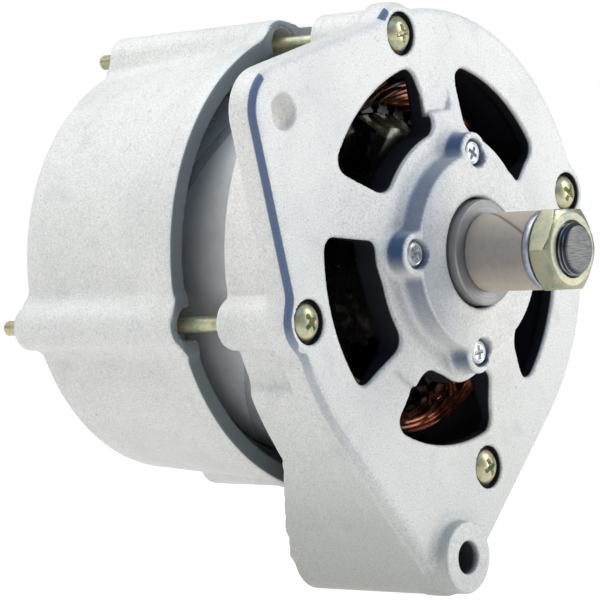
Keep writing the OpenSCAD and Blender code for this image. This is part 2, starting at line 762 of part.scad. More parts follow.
module shaft() color("slategray") difference() {
    turned([
        [0, shaft_tip], [thread_r - 1.5, shaft_tip], [thread_r, shaft_tip + 1.5], [thread_r, thread_end],
        [shaft_r, thread_end], [shaft_r, rotor_rear], [rear_shaft_r, rotor_rear],
        [rear_shaft_r, rear_bearing_front], [rear_bore_r, rear_bearing_front],
        [rear_bore_r, rear_bearing_rear + 0.5], [rear_bore_r - 1, rear_bearing_rear + 1.5],
        [0, rear_bearing_rear + 1.5]]);
    key_disc(key_w);
}

module key_disc(w) translate([-w / 2, key_y, key_z]) rotate([0, 90, 0])
    cylinder(h = w, r = key_r, $fn = small_steps);

module shaft_key() color("gray") intersection() {
    key_disc(key_w);
    translate([-key_w, key_y - 2 * key_r, 0]) cube([2 * key_w, 4 * key_r, shaft_r + 1.4]);
}

// One half of the claw-pole wheel: core, root plate and tapering claws, its root plate at the front
module claw_pole_half() {
    core_end = rotor_front + rotor_len / 2;
    difference() {
        union() {
            disc(core_r, rotor_front, core_end);
            disc(valley_r, rotor_front, rotor_front + pole_t);
            for (i = [0:claw_count - 1]) rotate([0, -360 / claw_count * i, 0]) claw();
        }
        disc(shaft_r, rotor_front - cut, core_end + cut);
    }
}

// A claw: the turned section gives its bevelled shoulder and thinning finger, the prism its taper
module claw() {
    tip = rotor_front + claw_len;
    intersection() {
        turned([
            [valley_r - 4, rotor_front], [rotor_r - 5, rotor_front], [rotor_r, rotor_front + 5],
            [rotor_r, tip], [rotor_r - claw_tip_t, tip],
            [rotor_r - claw_root_t, rotor_front + pole_t], [valley_r - 4, rotor_front + pole_t]]);
        linear_extrude(2 * rotor_r) polygon([
            [-claw_root_w / 2, rotor_front - cut], [claw_root_w / 2, rotor_front - cut],
            [claw_root_w / 2, rotor_front + pole_t], [claw_tip_w / 2, tip + cut],
            [-claw_tip_w / 2, tip + cut], [-claw_root_w / 2, rotor_front + pole_t]]);
    }
}

module front_claw_pole() color("darkgray") claw_pole_half();

// The rear half is the front half turned end for end, its claws between those of the front half
module rear_claw_pole() color("darkgray")
    translate([0, rotor_front + rotor_rear, 0]) rotate([0, 180 / claw_count, 0]) rotate([180, 0, 0])
        claw_pole_half();

module coil_bobbin() color("ivory") difference() {
    union() {
        disc(coil_r, coil_front, coil_rear);
        disc(coil_outer_r, coil_front, coil_front + bobbin_t);
        disc(coil_outer_r, coil_rear - bobbin_t, coil_rear);
    }
    disc(core_r, coil_front - cut, coil_rear + cut);
}

module field_coil() color("chocolate")
    tube(coil_outer_r - 0.6, coil_r, coil_front + bobbin_t, coil_rear - bobbin_t);

module inner_spacer() color("silver") tube(shaft_r + front_land - 0.4, shaft_r, bearing_rear, rotor_front);

module front_collar() color("gray") difference() {
    turned([
        [0, collar_face], [collar_r - 0.8, collar_face], [collar_r, collar_face + 0.8],
        [collar_r, bearing_front - 1.2], [shaft_r + front_land - 0.5, bearing_front - 1.2],
        [shaft_r + front_land - 0.5, bearing_front], [0, bearing_front]]);
    disc(shaft_r, collar_face - cut, bearing_front + cut);
}

module shaft_sleeve() color("tan")
    tube(sleeve_r, sleeve_r - sleeve_t, sleeve_face, collar_face);

module spring_washer() color("lightsteelblue") difference() {
    tube(washer_r, thread_r, washer_face, sleeve_face);
    rotate([0, 40, 0]) translate([0, (washer_face + sleeve_face) / 2, washer_r / 2 + 4])
        rotate([0, 0, 30]) cube([0.8, 3 * washer_t, washer_r], center = true);
}

module shaft_nut() color("khaki") difference() {
    corner_r = nut_flats / 2 / cos(30);
    edge = 1.4;
    intersection() {
        slab(nut_face, washer_face) circle(corner_r - 0.02, $fn = 6);
        turned([
            [0, nut_face], [nut_flats / 2 - 0.3, nut_face], [corner_r, nut_face + edge],
            [corner_r, washer_face - edge], [nut_flats / 2 - 0.3, washer_face], [0, washer_face]]);
    }
    disc(thread_r, nut_face - cut, washer_face + cut);
    cone(thread_r + 1, thread_r - 0.5, nut_face - 0.01, nut_face + 1.5);
}

module slip_ring_carrier() color("saddlebrown") difference() {
    root_r = ring_r - ring_t;
    turned(concat(
        [[0, rotor_rear], [rear_shaft_r + 2.5, rotor_rear], [rear_shaft_r + 2.5, land_front]],
        [[carrier_r, land_front], [carrier_r, first_ring], [root_r, first_ring]],
        [[root_r, first_ring + ring_w], [carrier_r, first_ring + ring_w]],
        [[carrier_r, second_ring], [root_r, second_ring], [root_r, second_ring + ring_w]],
        [[carrier_r, second_ring + ring_w], [carrier_r, carrier_rear], [0, carrier_rear]]));
    disc(rear_shaft_r, rotor_rear - cut, carrier_rear + cut);
}

module slip_rings() color("peru") {
    tube(ring_r, ring_r - ring_t, first_ring, first_ring + ring_w);
    tube(ring_r, ring_r - ring_t, second_ring, second_ring + ring_w);
}

// Horseshoe outline of a heat sink
module horseshoe(r0, r1) difference() {
    polygon(sector_points(r0, r1, sink_sector[0], sink_sector[1], 3));
    for (a = sink_screw_angles)
        translate(polar(sink_screw_pitch_r, a)) circle(screw_r, $fn = small_steps);
}

module positive_heat_sink() color("darkgray") slab(positive_front, positive_rear) difference() {
    horseshoe(sink_bore_r, sink_r);
    for (a = positive_angles) translate(polar(diode_pitch_r, a)) circle(diode_r, $fn = small_steps);
    translate(output_at) circle(output_stud_r, $fn = small_steps);
}

module negative_heat_sink() color("darkgray") slab(negative_front, negative_rear) difference() {
    horseshoe(sink_bore_r, sink_r);
    for (a = negative_angles) translate(polar(diode_pitch_r, a)) circle(diode_r, $fn = small_steps);
    translate(output_at) circle(output_stud_r + 3, $fn = small_steps);
}

// A press-in diode: cup in the heat sink, glass collar and a stiff lead
module diode(a, y0, y1, lead_end) {
    p = polar(diode_pitch_r, a);
    towards = lead_end > y1 ? 1 : -1;
    face = towards > 0 ? y1 : y0;
    rod_at(p, diode_r, y0, y1);
    rod_at(p, 3.2, min(face, face + 1.6 * towards), max(face, face + 1.6 * towards));
    rod_at(p, 0.8, min(face, lead_end), max(face, lead_end));
}

module positive_diodes() color("gray")
    for (a = positive_angles) diode(a, positive_front - 2, positive_rear, board_rear);
module negative_diodes() color("gray")
    for (a = negative_angles) diode(a, negative_front, negative_rear + 1, board_front);

module diode_board() color("darkslategray") slab(board_front, board_rear) difference() {
    polygon(sector_points(sink_bore_r + 3, sink_r - 1, sink_sector[0] + 4, sink_sector[1] - 4, 3));
    for (a = concat(positive_angles, negative_angles))
        translate(polar(diode_pitch_r, a)) circle(0.8, $fn = small_steps);
    for (a = sink_screw_angles)
        translate(polar(sink_screw_pitch_r, a)) circle(screw_r + 1.5, $fn = small_steps);
    translate(output_at) circle(output_stud_r + 0.5, $fn = small_steps);
}

// Small diodes that lie on the board, their leads bent through it
module exciter_diodes() color("black")
    for (a = [200, 224, 282]) rotate([0, -a, 0]) translate([sink_bore_r + 5, board_front - 1.6, 0])
        rotate([0, 90, 0]) cylinder(h = 6, r = 1.6, $fn = small_steps);

module sink_spacers() color("ivory")
    for (a = sink_screw_angles) translate([polar(sink_screw_pitch_r, a).x, 0, polar(sink_screw_pitch_r, a).y])
        tube(screw_r + 1.5, screw_r, positive_rear, negative_front, small_steps);

module sink_screws() color("silver")
    for (a = sink_screw_angles) {
        p = polar(sink_screw_pitch_r, a);
        difference() {
            union() {
                rod_at(p, screw_r, positive_front - 1, wall_front + 2);
                rod_at(p, screw_head_r, positive_front - screw_head_h, positive_front);
            }
            cross_recess(p, positive_front - screw_head_h, 4.2, 1, 1.5);
        }
    }

module output_stud() color("goldenrod")
    stud(output_at, output_stud_r, positive_front, output_nut_h, rear_face + output_reach);

// Stud with a chamfered tip, its hexagon head in front of the seat. Its thread is as thick as the
// crests, and where the nut grips it the two meet at the middle of the thread.
module stud(p, r, seat, grip, tip) {
    translate([p.x, 0, p.y]) turned([
        [0, seat - 1], [r, seat - 1], [r, nut_seat], [mid_thread * r, nut_seat],
        [mid_thread * r, nut_seat + grip], [r, nut_seat + grip], [r, tip - 0.2 * r], [0.8 * r, tip],
        [0, tip]], small_steps);
    rod_at(p, 1.7 * r, seat - 4, seat, 6);
}

// Insulating bush through the rear wall, with a collar on the outside
module bush(p, hole_r, wall, collar) difference() {
    union() {
        rod_at(p, hole_r + wall, wall_front, rear_face + 1);
        rod_at(p, hole_r + wall + collar, rear_face, nut_seat);
    }
    rod_at(p, hole_r, wall_front - cut, nut_seat + cut);
}

// Nut on a terminal stud
module hex_nut(p, flats, r, h) difference() {
    rod_at(p, flats / 2 / cos(30), nut_seat, nut_seat + h, 6);
    rod_at(p, mid_thread * r, nut_seat - cut, nut_seat + h + cut);
}

module output_insulator() color("maroon") bush(output_at, output_stud_r, 3, 3.5);
module output_nut() color("khaki")
    hex_nut(output_at, 3.25 * output_stud_r, output_stud_r, output_nut_h);

module exciter_stud() color("goldenrod")
    stud(exciter_at, exciter_stud_r, wall_front, exciter_nut_h, rear_face + exciter_reach);
module exciter_insulator() color("maroon") bush(exciter_at, exciter_stud_r, 2, 2.5);
module exciter_nut() color("khaki")
    hex_nut(exciter_at, 3.2 * exciter_stud_r, exciter_stud_r, exciter_nut_h);

// Flat push-on tab for the rev counter lead, in its own insulating block
module phase_terminal() color("silver") {
    translate([phase_at.x - 4, wall_front - 1.5, phase_at.y - 1.5]) cube([8, rear_wall + 3.5, 3]);
    translate([phase_at.x - 3.15, rear_face, phase_at.y - 0.4]) cube([6.3, 10, 0.8]);
}

// Flange and can of the regulator, screwed to the outside of the rear wall
module regulator() color("silver") {
    half_can = regulator_half_w - 10;
    difference() {
        slab(rear_face, flange_rear) flange_outline();
        for (x = [-regulator_screw_at.x, regulator_screw_at.x])
            rod_at([x, regulator_screw_at.y], screw_r + 0.3, rear_face - cut, flange_rear + cut);
    }
    slab(flange_rear, flange_rear + can_h - 1) polygon(box_points(half_can, flange_foot + 1, flange_top - 1, 3));
    slab(flange_rear, flange_rear + can_h) polygon(box_points(half_can - 1, flange_foot + 2, flange_top - 2, 2.4));
}

// Rounded rectangle, from -half_w to half_w across and z0 to z1 up
function box_points(half_w, z0, z1, c) = concat(
    arc([half_w - c, z0 + c], c, -90, 0, 4), arc([half_w - c, z1 - c], c, 0, 90, 4),
    arc([c - half_w, z1 - c], c, 90, 180, 4), arc([c - half_w, z0 + c], c, 180, 270, 4));

module flange_outline() {
    polygon(box_points(regulator_half_w - 7, flange_foot, flange_top, 2));
    polygon(box_points(regulator_half_w, regulator_screw_at.y - 5, regulator_screw_at.y + 5, 4.9));
}

module regulator_screws() color("silver")
    for (x = [-regulator_screw_at.x, regulator_screw_at.x]) {
        p = [x, regulator_screw_at.y];
        difference() {
            union() {
                rod_at(p, screw_r, wall_front + 0.5, flange_rear + 1);
                rod_at(p, screw_head_r, flange_rear, flange_rear + screw_head_h);
            }
            cross_recess(p, flange_rear + screw_head_h, 4.2, 1, 1.5, true);
        }
    }

// Moulded holder: guide box over the slip rings and the neck that joins it to the regulator
module brush_holder() color("saddlebrown") difference() {
    translate([-holder_half_b, holder_front, guide_foot])
        cube([2 * holder_half_b, rear_face - holder_front, holder_top - guide_foot]);
    for (y = ring_middles) translate([-brush_b / 2 - brush_gap, y - brush_w / 2 - brush_gap, guide_foot - cut])
        cube([brush_b + 2 * brush_gap, brush_w + 2 * brush_gap, guide_top - guide_foot + cut]);
    translate([-holder_half_b + holder_t, holder_rear, guide_foot - cut])
        cube([2 * (holder_half_b - holder_t), rear_bearing_front - holder_rear + rear_w, 8]);
}

module brush(y) color("dimgray") difference() {
    translate([-brush_b / 2, y - brush_w / 2, ring_r - 4])
        cube([brush_b, brush_w, brush_len + 4 + race_gap]);
    disc(ring_r + race_gap, y - ring_w, y + ring_w);
}
module front_brush() brush(ring_middles[0]);
module rear_brush() brush(ring_middles[1]);

// Coil spring standing on a brush, swept by functions along its helix
spring_wire_r = 0.35;
spring_turns = 6;
function spring_ring(t, y) =
    let (mid_r = spring_r - spring_wire_r, a = 360 * spring_turns * t)
    let (rise = spring_foot + spring_wire_r + 0.05 + (spring_len - 2 * spring_wire_r - 0.1) * t)
    [for (k = [0:5]) let (out = mid_r + spring_wire_r * cos(60 * k))
        [out * cos(a), y + out * sin(a), rise + spring_wire_r * sin(60 * k)]];
module spring(y) color("silver") {
    steps = 12 * spring_turns;
    rings = [for (i = [0:steps]) spring_ring(i / steps, y)];
    points = [for (ring = rings) each ring];
    sides = [for (i = [0:steps - 1], k = [0:5])
        [6 * i + k, 6 * i + (k + 1) % 6, 6 * (i + 1) + (k + 1) % 6, 6 * (i + 1) + k]];
    polyhedron(points, concat(sides, [[for (k = [5:-1:0]) k], [for (k = [0:5]) 6 * steps + k]]));
}
module front_brush_spring() spring(ring_middles[0]);
module rear_brush_spring() spring(ring_middles[1]);

on_shaft() drive_end_bracket();
on_shaft() slip_ring_end_housing();
on_shaft() through_bolts();
on_shaft() stator_core();
on_shaft() stator_winding();
on_shaft() bearing_retainer_plate();
on_shaft() retainer_screws();
on_shaft() front_bearing_outer_ring();
on_shaft() front_bearing_inner_ring();
on_shaft() front_bearing_balls();
on_shaft() front_bearing_cage();
on_shaft() front_bearing_seals();
on_shaft() rear_bearing_outer_ring();
on_shaft() rear_bearing_inner_ring();
on_shaft() rear_bearing_balls();
on_shaft() rear_bearing_cage();
on_shaft() rear_bearing_seals();
on_shaft() shaft();
on_shaft() front_claw_pole();
on_shaft() rear_claw_pole();
on_shaft() coil_bobbin();
on_shaft() field_coil();
on_shaft() inner_spacer();
on_shaft() front_collar();
on_shaft() shaft_key();
on_shaft() shaft_sleeve();
on_shaft() spring_washer();
on_shaft() shaft_nut();
on_shaft() slip_ring_carrier();
on_shaft() slip_rings();
on_shaft() positive_heat_sink();
on_shaft() negative_heat_sink();
on_shaft() positive_diodes();
on_shaft() negative_diodes();
on_shaft() exciter_diodes();
on_shaft() diode_board();
on_shaft() sink_spacers();
on_shaft() sink_screws();
on_shaft() output_stud();
on_shaft() output_insulator();
on_shaft() output_nut();
on_shaft() exciter_stud();
on_shaft() exciter_insulator();
on_shaft() exciter_nut();
on_shaft() phase_terminal();
on_shaft() regulator();
on_shaft() regulator_screws();
on_shaft() brush_holder();
on_shaft() front_brush();
on_shaft() rear_brush();
on_shaft() front_brush_spring();
on_shaft() rear_brush_spring();
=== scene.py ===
import json
import math

import bmesh
import bpy
import numpy as np
from mathutils import Matrix, Vector


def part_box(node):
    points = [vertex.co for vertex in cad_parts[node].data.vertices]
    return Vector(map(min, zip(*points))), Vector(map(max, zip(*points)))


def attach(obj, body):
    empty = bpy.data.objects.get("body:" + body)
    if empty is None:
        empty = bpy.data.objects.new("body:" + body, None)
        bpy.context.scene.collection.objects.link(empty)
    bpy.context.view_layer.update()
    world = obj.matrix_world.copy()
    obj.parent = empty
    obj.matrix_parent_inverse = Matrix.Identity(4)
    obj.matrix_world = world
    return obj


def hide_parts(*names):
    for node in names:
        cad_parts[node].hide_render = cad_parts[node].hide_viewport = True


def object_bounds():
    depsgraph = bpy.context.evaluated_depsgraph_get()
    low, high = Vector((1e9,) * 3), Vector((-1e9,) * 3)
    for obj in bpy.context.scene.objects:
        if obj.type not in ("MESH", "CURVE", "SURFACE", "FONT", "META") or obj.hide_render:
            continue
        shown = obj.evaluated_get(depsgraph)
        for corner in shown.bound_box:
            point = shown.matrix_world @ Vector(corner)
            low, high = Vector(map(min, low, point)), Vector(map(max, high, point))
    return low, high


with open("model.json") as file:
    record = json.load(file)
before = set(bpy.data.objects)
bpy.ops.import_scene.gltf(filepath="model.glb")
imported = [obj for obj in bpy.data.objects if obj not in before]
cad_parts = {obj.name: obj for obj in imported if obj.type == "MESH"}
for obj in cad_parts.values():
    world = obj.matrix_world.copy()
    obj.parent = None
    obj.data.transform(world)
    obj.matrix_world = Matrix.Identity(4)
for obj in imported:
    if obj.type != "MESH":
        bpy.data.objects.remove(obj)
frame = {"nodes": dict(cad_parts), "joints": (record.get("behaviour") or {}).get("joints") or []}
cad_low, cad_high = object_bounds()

# Shapes are worked out in millimetres round the shaft's own axis: x to the right as seen from the
# pulley end, y back along the shaft from the front of the bracket plate, z up.
MM = 0.001
SHAFT_Z = next(j["pos_m"][2] for j in frame["joints"] if j["name"] == "rotor_spin")
PHOTO_SIZE = 600
rng = np.random.default_rng(7)


def span(node):
    """Lowest and highest corner of a CAD node, in millimetres from the shaft axis."""
    low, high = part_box(node)
    lift = np.array([0, 0, SHAFT_Z])
    return (np.array(low) - lift) / MM, (np.array(high) - lift) / MM


def polar(radius, degrees):
    """Point of the front view at a radius and an angle."""
    return radius * np.array([math.cos(math.radians(degrees)), math.sin(math.radians(degrees))])


# Stator core, which both castings hold, its play in their seats, and how far their bores stay inside it
STATOR_LOW, STATOR_HIGH = span("stator_core")
STATOR_R = STATOR_HIGH[0]
CORE_FRONT, CORE_REAR = STATOR_LOW[1], STATOR_HIGH[1]
SEAT_PLAY = 0.05
BORE_STEP = 1.8
# Rim plate, skirt, domed middle and web of the drive end bracket
SKIRT_R = STATOR_R + 8.2
PLATE_R = SKIRT_R + 5.5
RIM_T = 9.5
RIM_BEVEL = 1.8
PLATE_T = 5.0
SKIRT_FRONT = 4.0
BRACKET_REAR = CORE_FRONT + 4
DOME_INNER_R, DOME_OUTER_R, DOME_EDGE_R = 36.0, 58.0, 59.5
DOME_RISE = 5.0
WEB_T = 5.0
WEB_TOP = -42.0
# Hub and the seat of the front bearing
HUB_R = 30.2
HUB_FRONT = -13.2
HUB_BORE_R = 17.0
BEARING_R = 23.5
BEARING_FRONT = HUB_FRONT + 4.2
# Through bolts, with their ears, bosses and recesses
BOLT_PITCH_R = STATOR_R + 7.5
BOLT_ANGLES = [15.7 + 90 * i for i in range(4)]
BOLT_R = 2.4
BOLT_HOLE_R = 2.75
BOLT_EAR_R = 9.8
BOLT_BOSS_R = 8.0
BOLT_RECESS_R = 6.7
BOLT_SEAT = 3.0
# Screws of the bearing retainer, with their bosses and recesses, and the metal left round them
SCREW_ANGLES = [0, 90, 180, 270]
SCREW_PITCH_R = 30.5
SCREW_BOSS_R = 6.5
SCREW_BOSS_FRONT = -12.0
SCREW_RECESS_R = 4.5
SCREW_SEAT = -9.0
SCREW_METAL_R = 9.0
# Two angles of each window, the middle and half the width of their ring, and their rounded corners
WINDOWS = [(33, 82), (103, 153.5), (174, 223.5), (242.5, 292.5), (314.5, 363)]
WINDOW_R, WINDOW_HALF = 48.5, 10.5
WINDOW_CORNER = 5.0
WINDOW_REAR = 12.0
# Pivot lug and adjuster ear
LUG_AT = np.array([0.0, -SHAFT_Z / MM])
LUG_R = 11.2
LUG_BORE_R = 5.1
LUG_FRONT, LUG_REAR = -5.0, 55.5
EAR_AT = polar(86.8, 150.9)
EAR_R = 14.0
EAR_HOLE_R = 4.95
# Inner radius and the two angles of each flat on a spoke, and the station of the flats
FACETS = [(44.3, 88.5, 112.0), (45.5, 227.5, 250.0)]
FACET_LEVEL = -1.2
# Slip ring end housing: lip, bolt ridges from front to rear with their pockets in the lip, rear wall, and
# bearing boss outside and inside
LIP_FRONT = CORE_REAR - 12.2
LIP_PLAY = 5.9
LIP_T = 5.8
RIDGE_R = [8.0, 7.2]
POCKET_R = 5.4
REAR_FACE = CORE_REAR + 56
WALL_FRONT = REAR_FACE - 5
REAR_BOSS_R = 22.7
INNER_BOSS_R, INNER_BOSS_FRONT = 22.0, 96.4
REAR_BEARING_R = 17.5
REAR_BEARING_END = 109.0
OPENINGS_FRONT = 105.0
# Terminals, and the cooling slots, which leave room for a sink screw's pad and the output terminal
OUTPUT_ANGLE, SINK_SCREW_ANGLE = 340, 270
OUTPUT_AT = polar(44, OUTPUT_ANGLE)
EXCITER_AT = np.array([42.0, 32.0])
SLOT_ANGLES = [a for a in range(180, 361, 15)
               if abs(a - SINK_SCREW_ANGLE) > 8 and abs(a - OUTPUT_ANGLE) > 16]
# Direction of one of the streaks of varnish on the stator core
STREAK_ANGLE = 150.0
# Value that a field starts from before shapes are added to it
FAR = 50.0


# Meshes

def make_piece(name, points, faces, body, material, stands_for, sharp=40, closed=True, marks=None,
               normals=None):
    """Puts points (millimetres, round the shaft) and faces into a mesh in metres, merges its seams and poles,
    turns its faces outwards and lets it ride on a body. Faces are one array, or a list of arrays whose faces
    differ in their number of corners. Normals, where given, are those of a field."""
    mesh = bpy.data.meshes.new(name)
    placed = np.asarray(points, float) * MM + np.array([0, 0, SHAFT_Z])
    blocks = faces if isinstance(faces, list) else [faces]
    mesh.from_pydata(placed.tolist(), [], [face for block in blocks for face in block.tolist()])
    for key, values in (marks or {}).items():
        mesh.attributes.new(key, "FLOAT", "POINT").data.foreach_set("value", values.astype(np.float32))
    if closed:
        shape = bmesh.new()
        shape.from_mesh(mesh)
        bmesh.ops.remove_doubles(shape, verts=shape.verts, dist=2e-6)
        bmesh.ops.dissolve_degenerate(shape, edges=shape.edges, dist=1e-7)
        bmesh.ops.recalc_face_normals(shape, faces=shape.faces)
        shape.to_mesh(mesh)
        shape.free()
    mesh.shade_smooth()
    if sharp:
        mesh.set_sharp_from_angle(angle=math.radians(sharp))
    if normals is not None:
        mesh.normals_split_custom_set_from_vertices(normals.tolist())
    mesh.materials.append(material)
    piece = bpy.data.objects.new(name, mesh)
    bpy.context.scene.collection.objects.link(piece)
    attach(piece, body)
    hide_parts(*stands_for)
    return piece


def grid_faces(rows, columns, wrap_rows=False):
    """Quads between neighbouring rows of a grid of points whose columns run all the way round."""
    i, j = np.meshgrid(np.arange(rows if wrap_rows else rows - 1), np.arange(columns), indexing="ij")
    next_i, next_j = (i + 1) % rows, (j + 1) % columns
    corners = [i * columns + j, i * columns + next_j, next_i * columns + next_j, next_i * columns + j]
    return np.stack(corners, -1).reshape(-1, 4)


def joined(parts):
    """One set of points and of face arrays from several (points, faces) pairs."""
    points, blocks, start = [], [], 0
    for part_points, faces in parts:
        points.append(part_points)
        blocks += [block + start for block in (faces if isinstance(faces, list) else [faces])]
        start += len(part_points)
    return np.concatenate(points), blocks


def profile_rows(corners, step):
    """Points at most a step apart along a chain of (radius, station) corners."""
    rows = [np.array(corners[0], float)]
    for a, b in zip(corners, corners[1:]):
        a, b = np.array(a, float), np.array(b, float)
        count = max(1, int(math.ceil(np.linalg.norm(b - a) / step)))
        rows.extend(a + (b - a) * k / count for k in range(1, count + 1))
    return np.array(rows)


def rounded(corners, radius, steps=4):
    """A closed chain of corners with each corner replaced by a small arc tangent to its two sides."""
    made = []
    count = len(corners)
    for k in range(count):
        p = np.array(corners[k], float)
        a, b = np.array(corners[k - 1], float) - p, np.array(corners[(k + 1) % count], float) - p
        reach = min(radius, 0.45 * np.linalg.norm(a), 0.45 * np.linalg.norm(b))
        a, b = a / np.linalg.norm(a) * reach, b / np.linalg.norm(b) * reach
        for t in np.linspace(0, 1, steps + 1):
            made.append(tuple(p + a * (1 - t) ** 2 + b * t ** 2))
    return made


def turned(rows, columns=96, at=(0, 0), radius_of=None, station_of=None, wrap=False):
    """Surface of revolution of (radius, station) rows about a line at a point of the front view.
    radius_of and station_of change the radius and the station as functions of row and angle."""
    rows = np.asarray(rows, float)
    angle = np.linspace(0, 2 * math.pi, columns, endpoint=False)[None, :]
    radius = np.repeat(rows[:, :1], columns, 1)
    station = np.repeat(rows[:, 1:2], columns, 1)
    if radius_of:
        radius = radius_of(radius, station, angle)
    if station_of:
        station = station_of(radius, station, angle)
    points = np.stack([at[0] + radius * np.cos(angle), station, at[1] + radius * np.sin(angle)], -1)
    return points.reshape(-1, 3), grid_faces(len(rows), columns, wrap)


def tubes(paths, radius, sides=6):
    """Round tubes along many paths at once: paths has the shape (tube, point, 3). Each ring lies across its
    path, turned by the path's own direction and an axis that stays square to it."""
    count, length = paths.shape[:2]
    along = np.gradient(paths, axis=1)
    along /= np.linalg.norm(along, axis=2, keepdims=True)
    spare = np.broadcast_to([0.31, 0.0, 0.95], along.shape)
    side = np.cross(along, spare)
    side /= np.linalg.norm(side, axis=2, keepdims=True)
    up = np.cross(side, along)
    turn = np.linspace(0, 2 * math.pi, sides, endpoint=False)
    ring = side[:, :, None, :] * np.cos(turn)[:, None] + up[:, :, None, :] * np.sin(turn)[:, None]
    points = (paths[:, :, None, :] + radius * ring).reshape(-1, 3)
    starts = (np.arange(count) * length * sides)[:, None]
    quads = (grid_faces(length, sides)[None] + starts[:, None]).reshape(-1, 4)
    corner = np.arange(sides)
    caps = np.stack([starts + corner, starts + (length - 1) * sides + corner[::-1]], 1)
    return points, [quads, caps.reshape(-1, sides)]


def softened(node, material, body, width):
    """A CAD node with its edges broken: a merged copy with a small bevel, which stands for the node."""
    source = frame["nodes"][node]
    mesh = source.data.copy()
    shape = bmesh.new()
    shape.from_mesh(mesh)
    bmesh.ops.remove_doubles(shape, verts=shape.verts, dist=2e-6)
    bmesh.ops.dissolve_limit(shape, angle_limit=math.radians(0.5), verts=shape.verts, edges=shape.edges)
    shape.to_mesh(mesh)
    shape.free()
    mesh.materials.clear()
    mesh.materials.append(material)
    piece = bpy.data.objects.new(node + "_finished", mesh)
    bpy.context.scene.collection.objects.link(piece)
    bevel = piece.modifiers.new("broken_edges", "BEVEL")
    bevel.width = width * MM
    bevel.segments = 2
    bevel.limit_method = "ANGLE"
    bevel.angle_limit = math.radians(35)
    bevel.harden_normals = False
    mesh.shade_smooth()
    mesh.set_sharp_from_angle(angle=math.radians(50))
    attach(piece, body)
    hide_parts(node)
    return piece


# Fields: each gives the distance of points from a shape in millimetres, negative inside

def smooth_min(a, b, k):
    """Union of two fields whose meeting line is filled by a fillet about k wide."""
    h = np.maximum(k - np.abs(a - b), 0) / k
    return np.minimum(a, b) - h * h * k / 4


def smooth_max(a, b, k):
    """Intersection of two fields whose edge is rounded over about k."""
    return -smooth_min(-a, -b, k)


def box_2d(u, v, corner):
    """Field of a corner at u = 0 and v = 0, both negative inside, rounded by a radius."""
    u, v = u + corner, v + corner
    return np.minimum(np.maximum(u, v), 0) + np.hypot(np.maximum(u, 0), np.maximum(v, 0)) - corner


def circle(p, at, radius):
    """Circle of the front view round a point."""
    return np.hypot(p[0] - at[0], p[2] - at[1]) - radius


def between(p, y0, y1):
    """Layer between two stations."""
    return np.abs(p[1] - (y0 + y1) / 2) - (y1 - y0) / 2


def rod(p, at, radius, y0, y1, corner=0.6):
    """Rod along the shaft's direction with rounded rims."""
    return box_2d(circle(p, at, radius), between(p, y0, y1), corner)


def round_and_angle(p):
    """Distance from the shaft and angle round it in degrees."""
    return np.hypot(p[0], p[2]), np.degrees(np.arctan2(p[2], p[0]))


def beside(r, angle, a0, a1):
    """Distance across the nearer side of a sector between two angles, negative inside the sector."""
    off = np.abs((angle - (a0 + a1) / 2 + 180) % 360 - 180)
    return r * np.sin(np.radians(np.clip(off - (a1 - a0) / 2, -90, 90)))


def two_circles(p, at, r0, r1):
    """Front view of a belt round two circles: radius r0 at the shaft and r1 at a point. On each side the
    nearest place is one of the arcs or the straight run that is tangent to both."""
    length = np.hypot(*at)
    ux, uz = at / length
    across = np.abs(p[0] * uz - p[2] * ux)
    along = p[0] * ux + p[2] * uz
    lean = (r0 - r1) / length
    run = math.sqrt(1 - lean * lean)
    reach = along * run - across * lean
    flank = across * run + along * lean - r0
    near = np.hypot(across, along) - r0
    far = np.hypot(across, along - length) - r1
    return np.where(reach < 0, near, np.where(reach > length * run, far, flank))


def window_field(p):
    """Five ring sectors with rounded corners, which give way to the bosses of the hub screws."""
    r, angle = round_and_angle(p)
    ring = np.abs(r - WINDOW_R) - WINDOW_HALF
    field = np.full_like(r, FAR)
    for a0, a1 in WINDOWS:
        field = np.minimum(field, box_2d(beside(r, angle, a0, a1), ring, WINDOW_CORNER))
    for a in SCREW_ANGLES:
        field = smooth_max(field, -circle(p, polar(SCREW_PITCH_R, a), SCREW_METAL_R), 3.0)
    return field


def dome_front(r):
    """Station of the plate's front: proud round the hub, falling in an S to the flat rim."""
    s = np.clip((r - DOME_INNER_R) / (DOME_OUTER_R - DOME_INNER_R), 0, 1)
    return -DOME_RISE * (1 - s * s * (3 - 2 * s))


def web_edge(z):
    """Station of the web's rear edge at a height: level with the skirt, then sloping back to the lug."""
    depths = [61, 84.5, 87.5, 93.7]
    stations = [BRACKET_REAR, LUG_REAR - 6.5, LUG_REAR - 5.5, LUG_REAR - 0.6]
    return np.interp(-z, depths, stations)


def facet_field(p):
    """Flats struck into the domed front of two spokes, each beyond a radius and between two angles."""
    r, angle = round_and_angle(p)
    field = np.full_like(r, FAR)
    for inner, a0, a1 in FACETS:
        field = np.minimum(field, box_2d(beside(r, angle, a0, a1), inner - r, 2.5))
    return np.maximum(field, p[1] - FACET_LEVEL)


def rim_outline(p):
    """Front view of the rim plate: belts from its circle to the lug and to the ear, and four bolt ears."""
    outline = np.minimum(two_circles(p, LUG_AT, PLATE_R, LUG_R), two_circles(p, EAR_AT, PLATE_R, EAR_R))
    for a in BOLT_ANGLES:
        outline = smooth_min(outline, circle(p, polar(BOLT_PITCH_R, a), BOLT_EAR_R), 3.0)
    return outline


